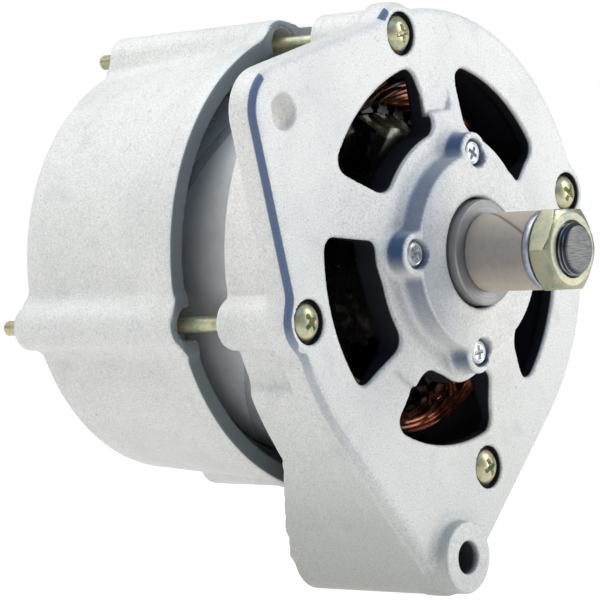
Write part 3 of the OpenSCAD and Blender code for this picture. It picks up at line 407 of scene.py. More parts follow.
def web_field(p):
    """Two flanks under the rim that start flush with the skirt, swell to the belt's width within 20 mm of
    height, and reach back along the lug. The slope of their rear edge takes 0.77 of a distance along y."""
    y, z = p[1], p[2]
    flush = (PLATE_R - SKIRT_R) * np.clip((z - WEB_TOP + 20) / 22, 0, 1)
    outside = two_circles(p, LUG_AT, PLATE_R, LUG_R) + flush
    inside = two_circles(p, LUG_AT, PLATE_R - WEB_T, LUG_R - WEB_T)
    flanks = np.maximum(outside, -inside)
    flanks = np.maximum(smooth_max(flanks, z - WEB_TOP, 2.0), SKIRT_FRONT - y)
    return smooth_max(flanks, 0.77 * (y - web_edge(z)), 1.2)


def bracket_hollow(p, r):
    """Inside of the bracket: the room for the end turns, the stator's seat and the bearing's seat."""
    y = p[1]
    room = box_2d(r - (STATOR_R - BORE_STEP), np.maximum(PLATE_T - y, y - 90), 3.0)
    hollow = np.minimum(room, np.maximum(r - STATOR_R - SEAT_PLAY, CORE_FRONT - y))
    return np.minimum(hollow, np.maximum(r - BEARING_R, BEARING_FRONT - y))


def bracket_field(x, y, z):
    """Drive end bracket: rim plate with ear and lug, skirt, web, dome, hub and bosses, less its hollows."""
    p = (x, y, z)
    r = np.hypot(x, z)
    outline = rim_outline(p)
    solid = box_2d(outline, between(p, 0, RIM_T), 0.8)
    solid = smooth_max(solid, (outline - y + RIM_BEVEL) / math.sqrt(2), 1.3)
    # Skirt, with the bolt bosses running down its side, and the web
    skirt = box_2d(r - SKIRT_R, between(p, SKIRT_FRONT, BRACKET_REAR), 1.0)
    for a in BOLT_ANGLES:
        boss = rod(p, polar(BOLT_PITCH_R, a), BOLT_BOSS_R, SKIRT_FRONT, BRACKET_REAR, 1.0)
        skirt = smooth_min(skirt, boss, 1.5)
    skirt = smooth_min(skirt, web_field(p), 9.0)
    skirt = smooth_max(skirt, y - np.maximum(web_edge(z), BRACKET_REAR), 1.0)
    solid = smooth_min(solid, skirt, 2.5)
    # Domed middle, whose slope takes 0.93 of a distance along y, and hub
    dome = np.maximum(0.93 * (dome_front(r) - y), r - DOME_EDGE_R)
    solid = np.minimum(solid, np.maximum(dome, y - PLATE_T))
    hub = box_2d(r - HUB_R, np.maximum(HUB_FRONT - y, y - PLATE_T), 1.3)
    solid = smooth_min(solid, hub, 3.0)
    for a in SCREW_ANGLES:
        boss = rod(p, polar(SCREW_PITCH_R, a), SCREW_BOSS_R, SCREW_BOSS_FRONT, PLATE_T, 1.0)
        solid = smooth_min(solid, boss, 2.5)
    solid = smooth_min(solid, rod(p, LUG_AT, LUG_R, LUG_FRONT, LUG_REAR, 0.9), 2.5)
    # Hollows, windows, flats, recesses and holes
    solid = smooth_max(solid, -bracket_hollow(p, r), 0.8)
    solid = smooth_max(solid, -(r - HUB_BORE_R), 1.2)
    solid = smooth_max(solid, -np.maximum(window_field(p), y - WINDOW_REAR), 1.3)
    solid = smooth_max(solid, -facet_field(p), 0.9)
    for a in BOLT_ANGLES:
        at = polar(BOLT_PITCH_R, a)
        solid = smooth_max(solid, -np.maximum(circle(p, at, BOLT_RECESS_R), y - BOLT_SEAT), 0.8)
        solid = np.maximum(solid, -circle(p, at, BOLT_HOLE_R))
    for a in SCREW_ANGLES:
        recess = circle(p, polar(SCREW_PITCH_R, a), SCREW_RECESS_R)
        solid = smooth_max(solid, -np.maximum(recess, y - SCREW_SEAT), 0.7)
    solid = smooth_max(solid, -circle(p, LUG_AT, LUG_BORE_R), 0.9)
    return smooth_max(solid, -circle(p, EAR_AT, EAR_HOLE_R), 1.6)


def drum_radius(y):
    """Outside radius of the drum at a station: raised band at the lip, then a drafted wall."""
    lip_r = STATOR_R + LIP_PLAY + LIP_T
    stations = [LIP_FRONT + 6.2, LIP_FRONT + 8.6, REAR_FACE - 4]
    return np.interp(y, stations, [lip_r, lip_r - 2.2, lip_r - 6.4])


def drum_hollow(p, r):
    """Inside of the housing: lip counterbore, stator seat, drafted drum and the seat of the rear bearing,
    whose boss stands into the drum."""
    y = p[1]
    lip = box_2d(r - STATOR_R - LIP_PLAY, between(p, 0, CORE_REAR - 3.5), 0.8)
    inner_r = np.interp(y, [CORE_REAR, WALL_FRONT - 3], [STATOR_R - BORE_STEP, STATOR_R - BORE_STEP - 1])
    drum = box_2d(r - inner_r, between(p, CORE_REAR, WALL_FRONT), 3.0)
    drum = np.maximum(drum, -np.maximum(r - INNER_BOSS_R, INNER_BOSS_FRONT - y))
    seat = np.maximum(r - STATOR_R - SEAT_PLAY, between(p, 40, CORE_REAR))
    bearing = np.maximum(r - REAR_BEARING_R, y - REAR_BEARING_END)
    return np.minimum(np.minimum(lip, seat), np.minimum(drum, bearing))


def rear_openings(p):
    """Cooling slots that widen outwards, terminal holes and the window of the brush holder."""
    x, z = p[0], p[2]
    middle_r, half, inner_w, outer_w = 43.3, 10.3, 3.2, 4.0
    field = np.full_like(x, FAR)
    for a in SLOT_ANGLES:
        c, s = polar(1, a)
        along, across = x * c + z * s, np.abs(-x * s + z * c)
        wide = np.interp(along, [middle_r - half, middle_r + half], [inner_w, outer_w])
        slot = np.hypot(across, np.maximum(np.abs(along - middle_r) - half, 0)) - wide
        field = np.minimum(field, slot)
    field = np.minimum(field, circle(p, OUTPUT_AT, 7))
    field = np.minimum(field, circle(p, EXCITER_AT, 4.5))
    return np.minimum(field, np.maximum(np.abs(x) - 6.1, np.abs(z - 35.3) - 11.7))


def housing_field(x, y, z):
    """Slip ring end housing: drafted drum with four bolt ridges, hollowed, with its rear wall pierced."""
    p = (x, y, z)
    r = np.hypot(x, z)
    solid = smooth_max(smooth_max(r - drum_radius(y), LIP_FRONT - y, 1.0), y - REAR_FACE, 3.0)
    ridge_r = np.interp(y, [LIP_FRONT, REAR_FACE], RIDGE_R)
    for a in BOLT_ANGLES:
        ridge = smooth_max(circle(p, polar(BOLT_PITCH_R, a), ridge_r), LIP_FRONT - y, 1.0)
        ridge = smooth_max(ridge, y - REAR_FACE + 0.5, 2.0)
        solid = smooth_min(solid, ridge, 5.0)
    solid = smooth_min(solid, rod(p, (0, 0), REAR_BOSS_R, 100, REAR_FACE + 2, 1.2), 1.5)
    solid = smooth_max(solid, -drum_hollow(p, r), 0.8)
    for a in BOLT_ANGLES:
        at = polar(BOLT_PITCH_R, a)
        solid = smooth_max(solid, -rod(p, at, POCKET_R, 30, CORE_REAR - 3, 1.0), 1.0)
        solid = np.maximum(solid, -circle(p, at, BOLT_R))
    return smooth_max(solid, -np.maximum(rear_openings(p), OPENINGS_FRONT - y), 1.0)


def contour(field, low, high, step):
    """Surface nets. Each grid cell that the surface crosses gets one point, the mean of the crossings on
    its edges, and each crossed edge one quad. Every point is then moved along the field's slope to the
    surface itself."""
    axes = [np.arange(a, b + step, step) for a, b in zip(low, high)]
    value = field(*np.meshgrid(*axes, indexing="ij"))
    shape = value.shape
    cells, crossings, quads = [], [], []
    for a in range(3):
        b, c = (a + 1) % 3, (a + 2) % 3
        start = value.take(np.arange(shape[a] - 1), a)
        end = value.take(np.arange(1, shape[a]), a)
        hit = (start < 0) != (end < 0)
        index = np.stack(np.nonzero(hit), 1)
        point = index.astype(float)
        point[:, a] += start[hit] / (start[hit] - end[hit])
        corners = []
        for back_b, back_c in ((0, 0), (1, 0), (1, 1), (0, 1)):
            cell = index.copy()
            cell[:, b] -= back_b
            cell[:, c] -= back_c
            flat = np.ravel_multi_index(cell.T, shape)
            corners.append(flat)
            cells.append(flat)
            crossings.append(point)
        quad = np.stack(corners, 1)
        quads.append(np.where((start[hit] < 0)[:, None], quad, quad[:, ::-1]))
    used, place = np.unique(np.concatenate(cells), return_inverse=True)
    crossings = np.concatenate(crossings)
    count = np.bincount(place)
    points = np.stack([np.bincount(place, crossings[:, k]) / count for k in range(3)], 1)
    points = points * step + np.array([axis[0] for axis in axes])
    for _ in range(2):
        slope = slope_of(field, points, 0.05)
        move = field(*points.T) / np.maximum((slope ** 2).sum(1), 0.2)
        points -= np.clip(move, -0.5 * step, 0.5 * step)[:, None] * slope
    return points, np.searchsorted(used, np.concatenate(quads))


def slope_of(field, points, h):
    """Gradient of a field at points by central differences."""
    parts = []
    for k in range(3):
        shift = np.zeros(3)
        shift[k] = h
        parts.append((field(*(points + shift).T) - field(*(points - shift).T)) / (2 * h))
    return np.stack(parts, 1)


def bend_of(field, points, h):
    """Sum of the field's second differences over a distance h: above 0 on edges, below 0 in fillets."""
    total = -6 * field(*points.T)
    for k in range(3):
        shift = np.zeros(3)
        shift[k] = h
        total = total + field(*(points + shift).T) + field(*(points - shift).T)
    return total / h


# Node helpers

def put(tree, kind, inputs=None, **settings):
    """Adds a shader node, sets or links its inputs, and returns it."""
    made = tree.nodes.new("ShaderNode" + kind)
    for name, value in settings.items():
        setattr(made, name, value)
    for name, value in (inputs or {}).items():
        if isinstance(value, bpy.types.NodeSocket):
            tree.links.new(value, made.inputs[name])
        else:
            made.inputs[name].default_value = value
    return made


def mixed(tree, factor, a, b, mode="MIX"):
    """Colour b over colour a by a factor."""
    node = put(tree, "Mix", {0: factor, 6: a, 7: b}, data_type="RGBA", blend_type=mode)
    return node.outputs[2]


def ranged(tree, value, low, high, out_low=0.0, out_high=1.0):
    """A value carried from one range to another, held at the ends."""
    names = {"Value": value, "From Min": low, "From Max": high, "To Min": out_low, "To Max": out_high}
    return put(tree, "MapRange", names).outputs[0]


def maths(tree, operation, a, b=0.0):
    """Result of one Math node."""
    return put(tree, "Math", {0: a, 1: b}, operation=operation).outputs[0]


def product(tree, first, *others):
    """A value times all the others."""
    for other in others:
        first = maths(tree, "MULTIPLY", first, other)
    return first


def highest(tree, first, *others):
    """The greatest of some values."""
    for other in others:
        first = maths(tree, "MAXIMUM", first, other)
    return first


def length_of(tree, a, b):
    """Square root of the sum of two squares."""
    return maths(tree, "SQRT", maths(tree, "ADD", product(tree, a, a), product(tree, b, b)))


def mark(tree, name):
    """A value that the mesh carries at its points."""
    return put(tree, "Attribute", attribute_name=name).outputs["Fac"]


def rgb(r, g, b):
    """Opaque colour in linear light."""
    return (r, g, b, 1.0)


def new_group(name, inputs, outputs):
    """Empty shader node group with float inputs (name and value) and outputs (name and kind)."""
    tree = bpy.data.node_groups.new(name, "ShaderNodeTree")
    for label, value in inputs:
        socket = tree.interface.new_socket(label, in_out="INPUT", socket_type="NodeSocketFloat")
        socket.default_value = value
    for label, kind in outputs:
        tree.interface.new_socket(label, in_out="OUTPUT", socket_type="NodeSocket" + kind)
    return tree, tree.nodes.new("NodeGroupInput"), tree.nodes.new("NodeGroupOutput")


def grain_group():
    """Noise over Object coordinates: a height, and a light and dark tone round 1."""
    tree, given, result = new_group("grain", [("Scale", 900.0), ("Contrast", 0.1)],
                                    [("Tone", "Float"), ("Height", "Float")])
    place = put(tree, "TexCoord").outputs["Object"]
    fine = put(tree, "TexNoise", {"Vector": place, "Scale": given.outputs["Scale"], "Detail": 3.0,
                                  "Roughness": 0.65}).outputs[0]
    offset = maths(tree, "SUBTRACT", fine, 0.5)
    tone = maths(tree, "ADD", maths(tree, "MULTIPLY", offset, given.outputs["Contrast"]), 1.0)
    tree.links.new(tone, result.inputs["Tone"])
    tree.links.new(fine, result.inputs["Height"])
    return tree


def patches_group():
    """Soft blotches: coarse noise cut between two levels."""
    tree, given, result = new_group("patches", [("Scale", 40.0), ("Low", 0.45), ("High", 0.65)],
                                    [("Mask", "Float")])
    place = put(tree, "TexCoord").outputs["Object"]
    noise = put(tree, "TexNoise", {"Vector": place, "Scale": given.outputs["Scale"], "Detail": 4.0,
                                   "Roughness": 0.6, "Distortion": 0.4}).outputs[0]
    mask = ranged(tree, noise, given.outputs["Low"], given.outputs["High"], 0.0, 1.0)
    tree.links.new(mask, result.inputs["Mask"])
    return tree


def lathe_group():
    """Turning marks: noise that changes with the distance from the shaft and along it, but not round it."""
    tree, given, result = new_group("lathe_marks", [("Scale", 2500.0)],
                                    [("Tone", "Float"), ("Height", "Float")])
    parts = put(tree, "SeparateXYZ", {0: put(tree, "TexCoord").outputs["Object"]})
    height = maths(tree, "SUBTRACT", parts.outputs[2], SHAFT_Z)
    radius = length_of(tree, parts.outputs[0], height)
    unrolled = put(tree, "CombineXYZ", {0: radius, 1: parts.outputs[1]}).outputs[0]
    noise = put(tree, "TexNoise", {"Vector": unrolled, "Scale": given.outputs["Scale"],
                                   "Detail": 2.0}).outputs[0]
    tree.links.new(ranged(tree, noise, 0.3, 0.7, 0.86, 1.1), result.inputs["Tone"])
    tree.links.new(noise, result.inputs["Height"])
    return tree


GRAIN = grain_group()
PATCHES = patches_group()
LATHE = lathe_group()


def place_group(tree, group, **values):
    """Places a node group in a material, with the material's own values on its inputs."""
    node = tree.nodes.new("ShaderNodeGroup")
    node.node_tree = group
    for name, value in values.items():
        node.inputs[name].default_value = value
    return node


def patches(tree, scale, low, high):
    """Mask of soft blotches: a scale, and the two levels between which they fade in."""
    return place_group(tree, PATCHES, Scale=scale, Low=low, High=high).outputs[0]


def new_material(name, **constants):
    """Material with a Principled shader whose constants are set on its own sockets."""
    material = bpy.data.materials.new(name)
    material.use_nodes = True
    tree = material.node_tree
    shader = tree.nodes["Principled BSDF"]
    for key, value in constants.items():
        shader.inputs[key.replace("_", " ")].default_value = value
    return material, tree, shader


def toned(tree, colour, tone):
    """A colour made lighter and darker by a tone round 1."""
    grey = put(tree, "CombineColor", {0: tone, 1: tone, 2: tone}).outputs[0]
    return mixed(tree, 1.0, colour, grey, "MULTIPLY")


def stained(tree, colour, mask, most, stain):
    """A colour with a stain over it, which covers it by a mask and at most by a share."""
    return mixed(tree, ranged(tree, mask, 0.0, 1.0, 0.0, most), colour, stain)


def bumped(tree, shader, height, distance, strength=0.5):
    """Gives a shader the relief of a height."""
    bump = put(tree, "Bump", {"Height": height, "Distance": distance, "Strength": strength})
    tree.links.new(bump.outputs[0], shader.inputs["Normal"])


def coloured(tree, shader, colour, source, low, high, rough):
    """Gives a shader a colour, and a roughness that follows a source between two of its values."""
    tree.links.new(colour, shader.inputs["Base Color"])
    tree.links.new(ranged(tree, source, low, high, *rough), shader.inputs["Roughness"])


def grained(tree, shader, colour, grain, rough, relief, strength=0.5):
    """Gives a shader a colour toned by a grain, and the grain's gloss and relief."""
    height = grain.outputs["Height"]
    coloured(tree, shader, toned(tree, colour, grain.outputs["Tone"]), height, 0.3, 0.7, rough)
    bumped(tree, shader, height, relief, strength)


# Materials

def round_shaft(tree):
    """Distance from the shaft, angle round it in degrees, and station, in millimetres, at a shading point."""
    parts = put(tree, "SeparateXYZ", {0: put(tree, "TexCoord").outputs["Object"]})
    x = product(tree, parts.outputs[0], 1 / MM)
    station = product(tree, parts.outputs[1], 1 / MM)
    z = product(tree, maths(tree, "SUBTRACT", parts.outputs[2], SHAFT_Z), 1 / MM)
    angle = product(tree, maths(tree, "ARCTAN2", z, x), 180 / math.pi)
    return length_of(tree, x, z), angle, station


def off_quarter(tree, angle, middle):
    """Signed angle in degrees from the nearest of four directions 90 degrees apart, one of them given."""
    off = maths(tree, "WRAP", maths(tree, "SUBTRACT", angle, middle), 45.0)
    off.node.inputs[2].default_value = -45.0
    return off


def recess_shade(tree, radius, angle, station):
    """Mask of the painted shade on the recess walls round the bolts. With R the pitch radius and a the angle
    from the nearest bolt, the squared distance from its axis is (r - R) squared plus 4 r R times the squared
    sine of a / 2."""
    half = maths(tree, "SINE", product(tree, off_quarter(tree, angle, BOLT_ANGLES[0]), math.pi / 360))
    reach = maths(tree, "SUBTRACT", radius, BOLT_PITCH_R)
    chord = product(tree, half, half, radius, 4 * BOLT_PITCH_R)
    apart = maths(tree, "SQRT", maths(tree, "ADD", product(tree, reach, reach), chord))
    return product(tree, ranged(tree, apart, BOLT_RECESS_R + 0.2, BOLT_RECESS_R + 0.6, 1.0, 0.0),
                   ranged(tree, station, 0.35, 0.9))


def lug_bore_shade(tree, radius, angle, station):
    """Mask of the painted shade down the lug's bore, by the cosine rule: the lug lies straight under the
    shaft, and the squared distance from its axis is r squared plus D squared less 2 r D times the cosine of
    the angle between."""
    down = maths(tree, "COSINE", product(tree, maths(tree, "ADD", angle, 90.0), math.pi / 180))
    side = maths(tree, "SUBTRACT", radius, product(tree, down, 2 * SHAFT_Z / MM))
    square = maths(tree, "ADD", product(tree, side, radius), (SHAFT_Z / MM) ** 2)
    return product(tree, ranged(tree, square, 30.0, 33.0, 0.9, 0.0),
                   ranged(tree, station, LUG_FRONT + 0.8, LUG_FRONT + 2.5))


def bracket_inside_shade(tree):
    """Painted shade, near black, in the windows and behind the plate: a thin rim kept free of it, then dark
    from 1 mm below the domed front inwards, on the walls of the bolt recesses and down the lug's bore. The
    flats on two spokes stay free of it."""
    radius, angle, station = round_shaft(tree)
    front = put(tree, "MapRange", {"Value": radius, "From Min": DOME_INNER_R, "From Max": DOME_OUTER_R,
                                   "To Min": -DOME_RISE, "To Max": 0.0},
                interpolation_type="SMOOTHSTEP").outputs[0]
    depth = maths(tree, "SUBTRACT", station, front)
    within = ranged(tree, radius, SKIRT_R - 3.0, SKIRT_R - 2.0, 1.0, 0.0)
    off_flats = maths(tree, "SUBTRACT", 1.0, mark(tree, "unshaded_flat"))
    windows = product(tree, ranged(tree, depth, 0.9, 1.5), within, off_flats)
    recesses = recess_shade(tree, radius, angle, station)
    return highest(tree, windows, recesses, lug_bore_shade(tree, radius, angle, station))


def housing_inside_shade(tree):
    """Painted shade: dull grey on the lip's front face, which the bracket shades, and inside the drum."""
    radius, _, station = round_shaft(tree)
    facing = put(tree, "SeparateXYZ", {0: put(tree, "TexCoord").outputs["Normal"]}).outputs[1]
    lip = product(tree, ranged(tree, facing, -0.85, -0.6, 1.0, 0.0),
                  ranged(tree, station, LIP_FRONT + 0.5, LIP_FRONT + 0.9, 1.0, 0.0))
    bore = ranged(tree, station, LIP_FRONT + 9.0, LIP_FRONT + 9.5, STATOR_R + LIP_PLAY + 0.3, STATOR_R)
    depth = maths(tree, "SUBTRACT", radius, bore)
    inside = product(tree, ranged(tree, depth, 0.0, 0.6, 1.0, 0.0),
                     ranged(tree, station, WALL_FRONT, WALL_FRONT + 1.0, 1.0, 0.0))
    return product(tree, highest(tree, lip, inside), 0.9)


def bracket_left_shade(tree):
    """Painted shade in dark blue: on the left bevel of the rim, between its face and its flank, on the left
    walls of the hub and its bosses, and faintly on the left of the hub's face."""
    radius, angle, station = round_shaft(tree)
    radians = product(tree, angle, math.pi / 180)
    height = product(tree, maths(tree, "SINE", radians), radius)
    across = product(tree, maths(tree, "COSINE", radians), radius)
    bevel = product(tree, ranged(tree, mark(tree, "rim"), -RIM_BEVEL - 0.3, -RIM_BEVEL),
                    ranged(tree, station, RIM_BEVEL + 0.2, RIM_BEVEL + 0.5, 1.0, 0.0),
                    ranged(tree, height, -34.0, -20.0, 0.25, 0.9), ranged(tree, height, -72.0, -45.0))
    wall = product(tree, ranged(tree, radius, 38.5, 41.0, 1.0, 0.0),
                   ranged(tree, station, -4.9, -4.0, 1.0, 0.0), mark(tree, "left_wall_shade"),
                   ranged(tree, radius, HUB_R + 0.3, HUB_R + 2.8, 0.75, 1.0))
    face = product(tree, ranged(tree, radius, HUB_R - 0.8, HUB_R - 0.4, 1.0, 0.0),
                   ranged(tree, across, -30.0, -11.0, 0.42, 0.0),
                   ranged(tree, station, HUB_FRONT + 0.3, HUB_FRONT + 0.6, 1.0, 0.0))
    return highest(tree, bevel, wall, face)


def cast_aluminium(name, inside_shade_of, inside_shade_colour, left_shade_of=None):
    """Shot-blasted casting: fine speckle, faint smudges and stains, painted shade in hollows, a painted
    highlight on edges, painted shade on low flanks where its mark says so and towards the foot, painted shade
    inside, and painted blue shade on left walls where the casting gives masks for them. A mark that a casting
    lacks reads as 0."""
    material, tree, shader = new_material(name, Metallic=0.15, Specular_IOR_Level=0.45)
    grain = place_group(tree, GRAIN, Scale=1700.0, Contrast=0.9)
    smudges = patches(tree, 26.0, 0.44, 0.70)
    stains = patches(tree, 75.0, 0.56, 0.74)
    flecks = patches(tree, 640.0, 0.60, 0.70)
    colour = stained(tree, rgb(0.86, 0.845, 0.80), smudges, 0.6, rgb(0.71, 0.70, 0.67))
    colour = stained(tree, colour, stains, 0.28, rgb(0.42, 0.43, 0.43))
    colour = stained(tree, colour, flecks, 0.45, rgb(0.42, 0.43, 0.44))
    # Painted shade in hollows, from the occlusion mark
    hollow = ranged(tree, mark(tree, "hollow"), 0.25, 1.0, 0.0, 0.42)
    colour = mixed(tree, hollow, colour, rgb(0.34, 0.37, 0.40))
    # Painted highlight on edges
    edge = ranged(tree, mark(tree, "edge"), 0.25, 1.0, 0.0, 0.8)
    colour = mixed(tree, edge, colour, rgb(0.93, 0.93, 0.92))
    # Painted shade, darker downwards on the web's flanks
    colour = stained(tree, colour, mark(tree, "low_flank_shade"), 0.5, rgb(0.34, 0.355, 0.325))
    # Painted shade, darker towards the foot
    level = put(tree, "SeparateXYZ", {0: put(tree, "TexCoord").outputs["Object"]}).outputs[2]
    colour = mixed(tree, ranged(tree, level, 0.0, 0.14, 0.34, 0.0), colour, rgb(0.47, 0.48, 0.45))
    # Painted shade in dark blue on left-facing walls
    if left_shade_of:
        colour = mixed(tree, left_shade_of(tree), colour, rgb(0.05, 0.105, 0.23))
    # Painted shade inside the casting, by its own mask and colour
    colour = mixed(tree, inside_shade_of(tree), toned(tree, colour, grain.outputs["Tone"]), inside_shade_colour)
    coloured(tree, shader, colour, grain.outputs["Height"], 0.3, 0.7, (0.44, 0.62))
    bumped(tree, shader, grain.outputs["Height"], 0.0003, 0.6)
    return material


def plated(name, base, film):
    """Plated or drawn metal: a base tint with blotches of a second, and fine grain in gloss and relief."""
    material, tree, shader = new_material(name, Metallic=0.85)
    grain = place_group(tree, GRAIN, Scale=700.0, Contrast=0.25)
    colour = mixed(tree, patches(tree, 260.0, 0.42, 0.62), base, film)
    grained(tree, shader, colour, grain, (0.25, 0.42), 0.00005, 0.4)
    return material


def yellow_zinc(name, depth):
    """Yellow passivated plate whose thin film turns from straw to green and lilac in small blotches, and by a
    depth from 0 to 1 to a dull olive."""
    material, tree, shader = new_material(name, Metallic=0.65)
    grain = place_group(tree, GRAIN, Scale=900.0, Contrast=0.2)
    colour = mixed(tree, patches(tree, 210.0, 0.45, 0.62), rgb(0.60, 0.55, 0.34), rgb(0.34, 0.40, 0.25))
    colour = stained(tree, colour, patches(tree, 330.0, 0.56, 0.68), 0.5, rgb(0.40, 0.34, 0.41))
    colour = mixed(tree, depth, colour, rgb(0.19, 0.21, 0.185))
    grained(tree, shader, colour, grain, (0.26, 0.42), 0.00006)
    return material


def shaft_steel():
    """Dark blued steel with turning marks, worn bright on crests, and a sawn end face in plain grey with
    slanting scratches."""
    material, tree, shader = new_material("dark_steel", Metallic=0.75)
    rings = place_group(tree, LATHE, Scale=2200.0)
    place = put(tree, "TexCoord").outputs["Object"]
    slanted = put(tree, "Mapping", {0: place, 2: (0.0, math.radians(38), 0.0),
                                    3: (1.0, 1.0, 14.0)}).outputs[0]
    scratches = put(tree, "TexNoise", {"Vector": slanted, "Scale": 260.0, "Detail": 3.0}).outputs[0]
    station = put(tree, "SeparateXYZ", {0: place}).outputs[1]
    tip = span("shaft")[0][1] * MM
    sawn = ranged(tree, station, tip + 0.0002, tip + 0.0005, 1.0, 0.0)
    face = toned(tree, rgb(0.17, 0.175, 0.17), ranged(tree, scratches, 0.3, 0.7, 0.5, 1.5))
    side = mixed(tree, mark(tree, "crest"), rgb(0.03, 0.034, 0.045), rgb(0.42, 0.44, 0.47))
    side = toned(tree, side, rings.outputs["Tone"])
    coloured(tree, shader, mixed(tree, sawn, side, face), sawn, 0.0, 1.0, (0.3, 0.5))
    bumped(tree, shader, scratches, 0.00005)
    return material


def claw_iron():
    """Black varnished forging: gloss that breaks up in patches, and patches of olive and cream painted as
    reflections.
    """
    material, tree, shader = new_material("claw_iron", Metallic=0.3)
    grain = place_group(tree, GRAIN, Scale=400.0, Contrast=0.3)
    # Painted reflections: olive and cream patches over the black
    painted_glints = mixed(tree, patches(tree, 75.0, 0.50, 0.60), rgb(0.10, 0.10, 0.05), rgb(0.42, 0.40, 0.33))
    colour = mixed(tree, patches(tree, 42.0, 0.54, 0.62), rgb(0.012, 0.013, 0.012), painted_glints)
    grained(tree, shader, colour, grain, (0.2, 0.42), 0.00008)
    return material


def lathe_steel(name, base, rough, metallic=0.9):
    """Turned steel: rings of light and dark round the shaft, and patches of a darker base."""
    material, tree, shader = new_material(name, Metallic=metallic)
    rings = place_group(tree, LATHE, Scale=2500.0)
    patch = patches(tree, 90.0, 0.4, 0.7)
    colour = stained(tree, base, patch, 0.3, rgb(*(0.6 * c for c in base[:3])))
    coloured(tree, shader, toned(tree, colour, rings.outputs["Tone"]), patch, 0.0, 1.0, rough)
    bumped(tree, shader, rings.outputs["Height"], 0.00004)
    return material


def plain_grain(name, base, dark, rough, scale=500.0, metallic=0.0):
    """Moulded, painted or varnished surface: two near tints in soft patches with fine grain."""
    material, tree, shader = new_material(name, Metallic=metallic)
    grain = place_group(tree, GRAIN, Scale=scale, Contrast=0.18)
    grained(tree, shader, mixed(tree, patches(tree, 70.0, 0.4, 0.65), base, dark), grain, rough, 0.00005)
    return material


def kraft_board():
    """Spirally wound paper tube: tan fibres with a few dark specks, greyed in patches by handling and on its
    left side by painted shade.
    """
    material, tree, shader = new_material("kraft_board", Metallic=0.0, Specular_IOR_Level=0.35)
    _, angle, _ = round_shaft(tree)
    grain = place_group(tree, GRAIN, Scale=420.0, Contrast=0.35)
    # Painted shade on the tube's left side
    left = ranged(tree, maths(tree, "ABSOLUTE", angle), 118.0, 165.0, 0.0, 0.75)
    shade_and_handling = highest(tree, left, ranged(tree, patches(tree, 48.0, 0.40, 0.66), 0.0, 1.0, 0.0, 0.35))
    colour = mixed(tree, shade_and_handling, rgb(0.56, 0.47, 0.37), rgb(0.25, 0.24, 0.235))
    colour = stained(tree, colour, patches(tree, 420.0, 0.68, 0.74), 0.5, rgb(0.12, 0.10, 0.08))
    colour = mixed(tree, mark(tree, "seam"), colour, rgb(0.10, 0.07, 0.05))
    grained(tree, shader, colour, grain, (0.42, 0.6), 0.00005)
    return material


def enamelled_copper():
    """Copper wire under varnish: orange to dark red-brown along the strands, with a glossy coat."""
    material, tree, shader = new_material("enamelled_copper", Metallic=0.75, Coat_Weight=0.35,
                                          Coat_Roughness=0.2)
    grain = place_group(tree, GRAIN, Scale=650.0, Contrast=0.5)
    colour = mixed(tree, patches(tree, 60.0, 0.38, 0.54), rgb(0.40, 0.115, 0.05), rgb(0.022, 0.009, 0.007))
    colour = toned(tree, colour, grain.outputs["Tone"])
    coloured(tree, shader, colour, grain.outputs["Height"], 0.3, 0.7, (0.22, 0.4))
    return material


def core_steel():
    """Stack of varnished laminations: fine lines across the shaft's direction over satin grey, and along it
    every 90 degrees a ragged, mottled streak of old varnish between two dark edges. Dark inside."""
    material, tree, shader = new_material("core_steel", Metallic=0.35)
    place = put(tree, "TexCoord").outputs["Object"]
    grain = place_group(tree, GRAIN, Scale=500.0, Contrast=0.2)
    radius, angle, station = round_shaft(tree)
    wander = put(tree, "TexNoise", {"Vector": place, "Scale": 260.0, "Detail": 3.0,
                                    "Roughness": 0.6}).outputs[0]
    # The streak leans 1.9 degrees in each millimetre of station, and its edges wander by up to 3 degrees
    lean = product(tree, maths(tree, "SUBTRACT", CORE_REAR - 10.0, station), 1.9)
    bent = maths(tree, "ADD", maths(tree, "ADD", angle, lean), product(tree, wander, 3.0))
    off = maths(tree, "ABSOLUTE", off_quarter(tree, bent, STREAK_ANGLE))
    streak = ranged(tree, off, 3.6, 4.6, 1.0, 0.0)
    brim = product(tree, ranged(tree, off, 3.7, 4.0), ranged(tree, off, 4.1, 4.4, 1.0, 0.0))
    patch = patches(tree, 55.0, 0.4, 0.7)
    lines = put(tree, "TexWave", {"Vector": place, "Scale": 160.0, "Distortion": 0.6, "Detail": 1.0},
                wave_type="BANDS", bands_direction="Y").outputs["Fac"]
    colour = mixed(tree, patch, rgb(0.54, 0.55, 0.55), rgb(0.43, 0.44, 0.44))
    colour = toned(tree, colour, ranged(tree, product(tree, streak, wander), 0.0, 0.7, 1.0, 0.6))
    colour = stained(tree, colour, brim, 0.6, rgb(0.03, 0.03, 0.032))
    inside = ranged(tree, radius, STATOR_R - 1.2, STATOR_R - 0.6, 1.0, 0.0)
    colour = mixed(tree, inside, colour, rgb(0.02, 0.018, 0.017))
    coloured(tree, shader, toned(tree, colour, grain.outputs["Tone"]), patch, 0.0, 1.0, (0.34, 0.5))
    bumped(tree, shader, lines, 0.00003, 0.35)
    return material


# Bracket: near-black painted shade inside, dark blue painted shade on its left walls
BRACKET_CAST = cast_aluminium("cast_aluminium_bracket", bracket_inside_shade, rgb(0.012, 0.014, 0.020), bracket_left_shade)
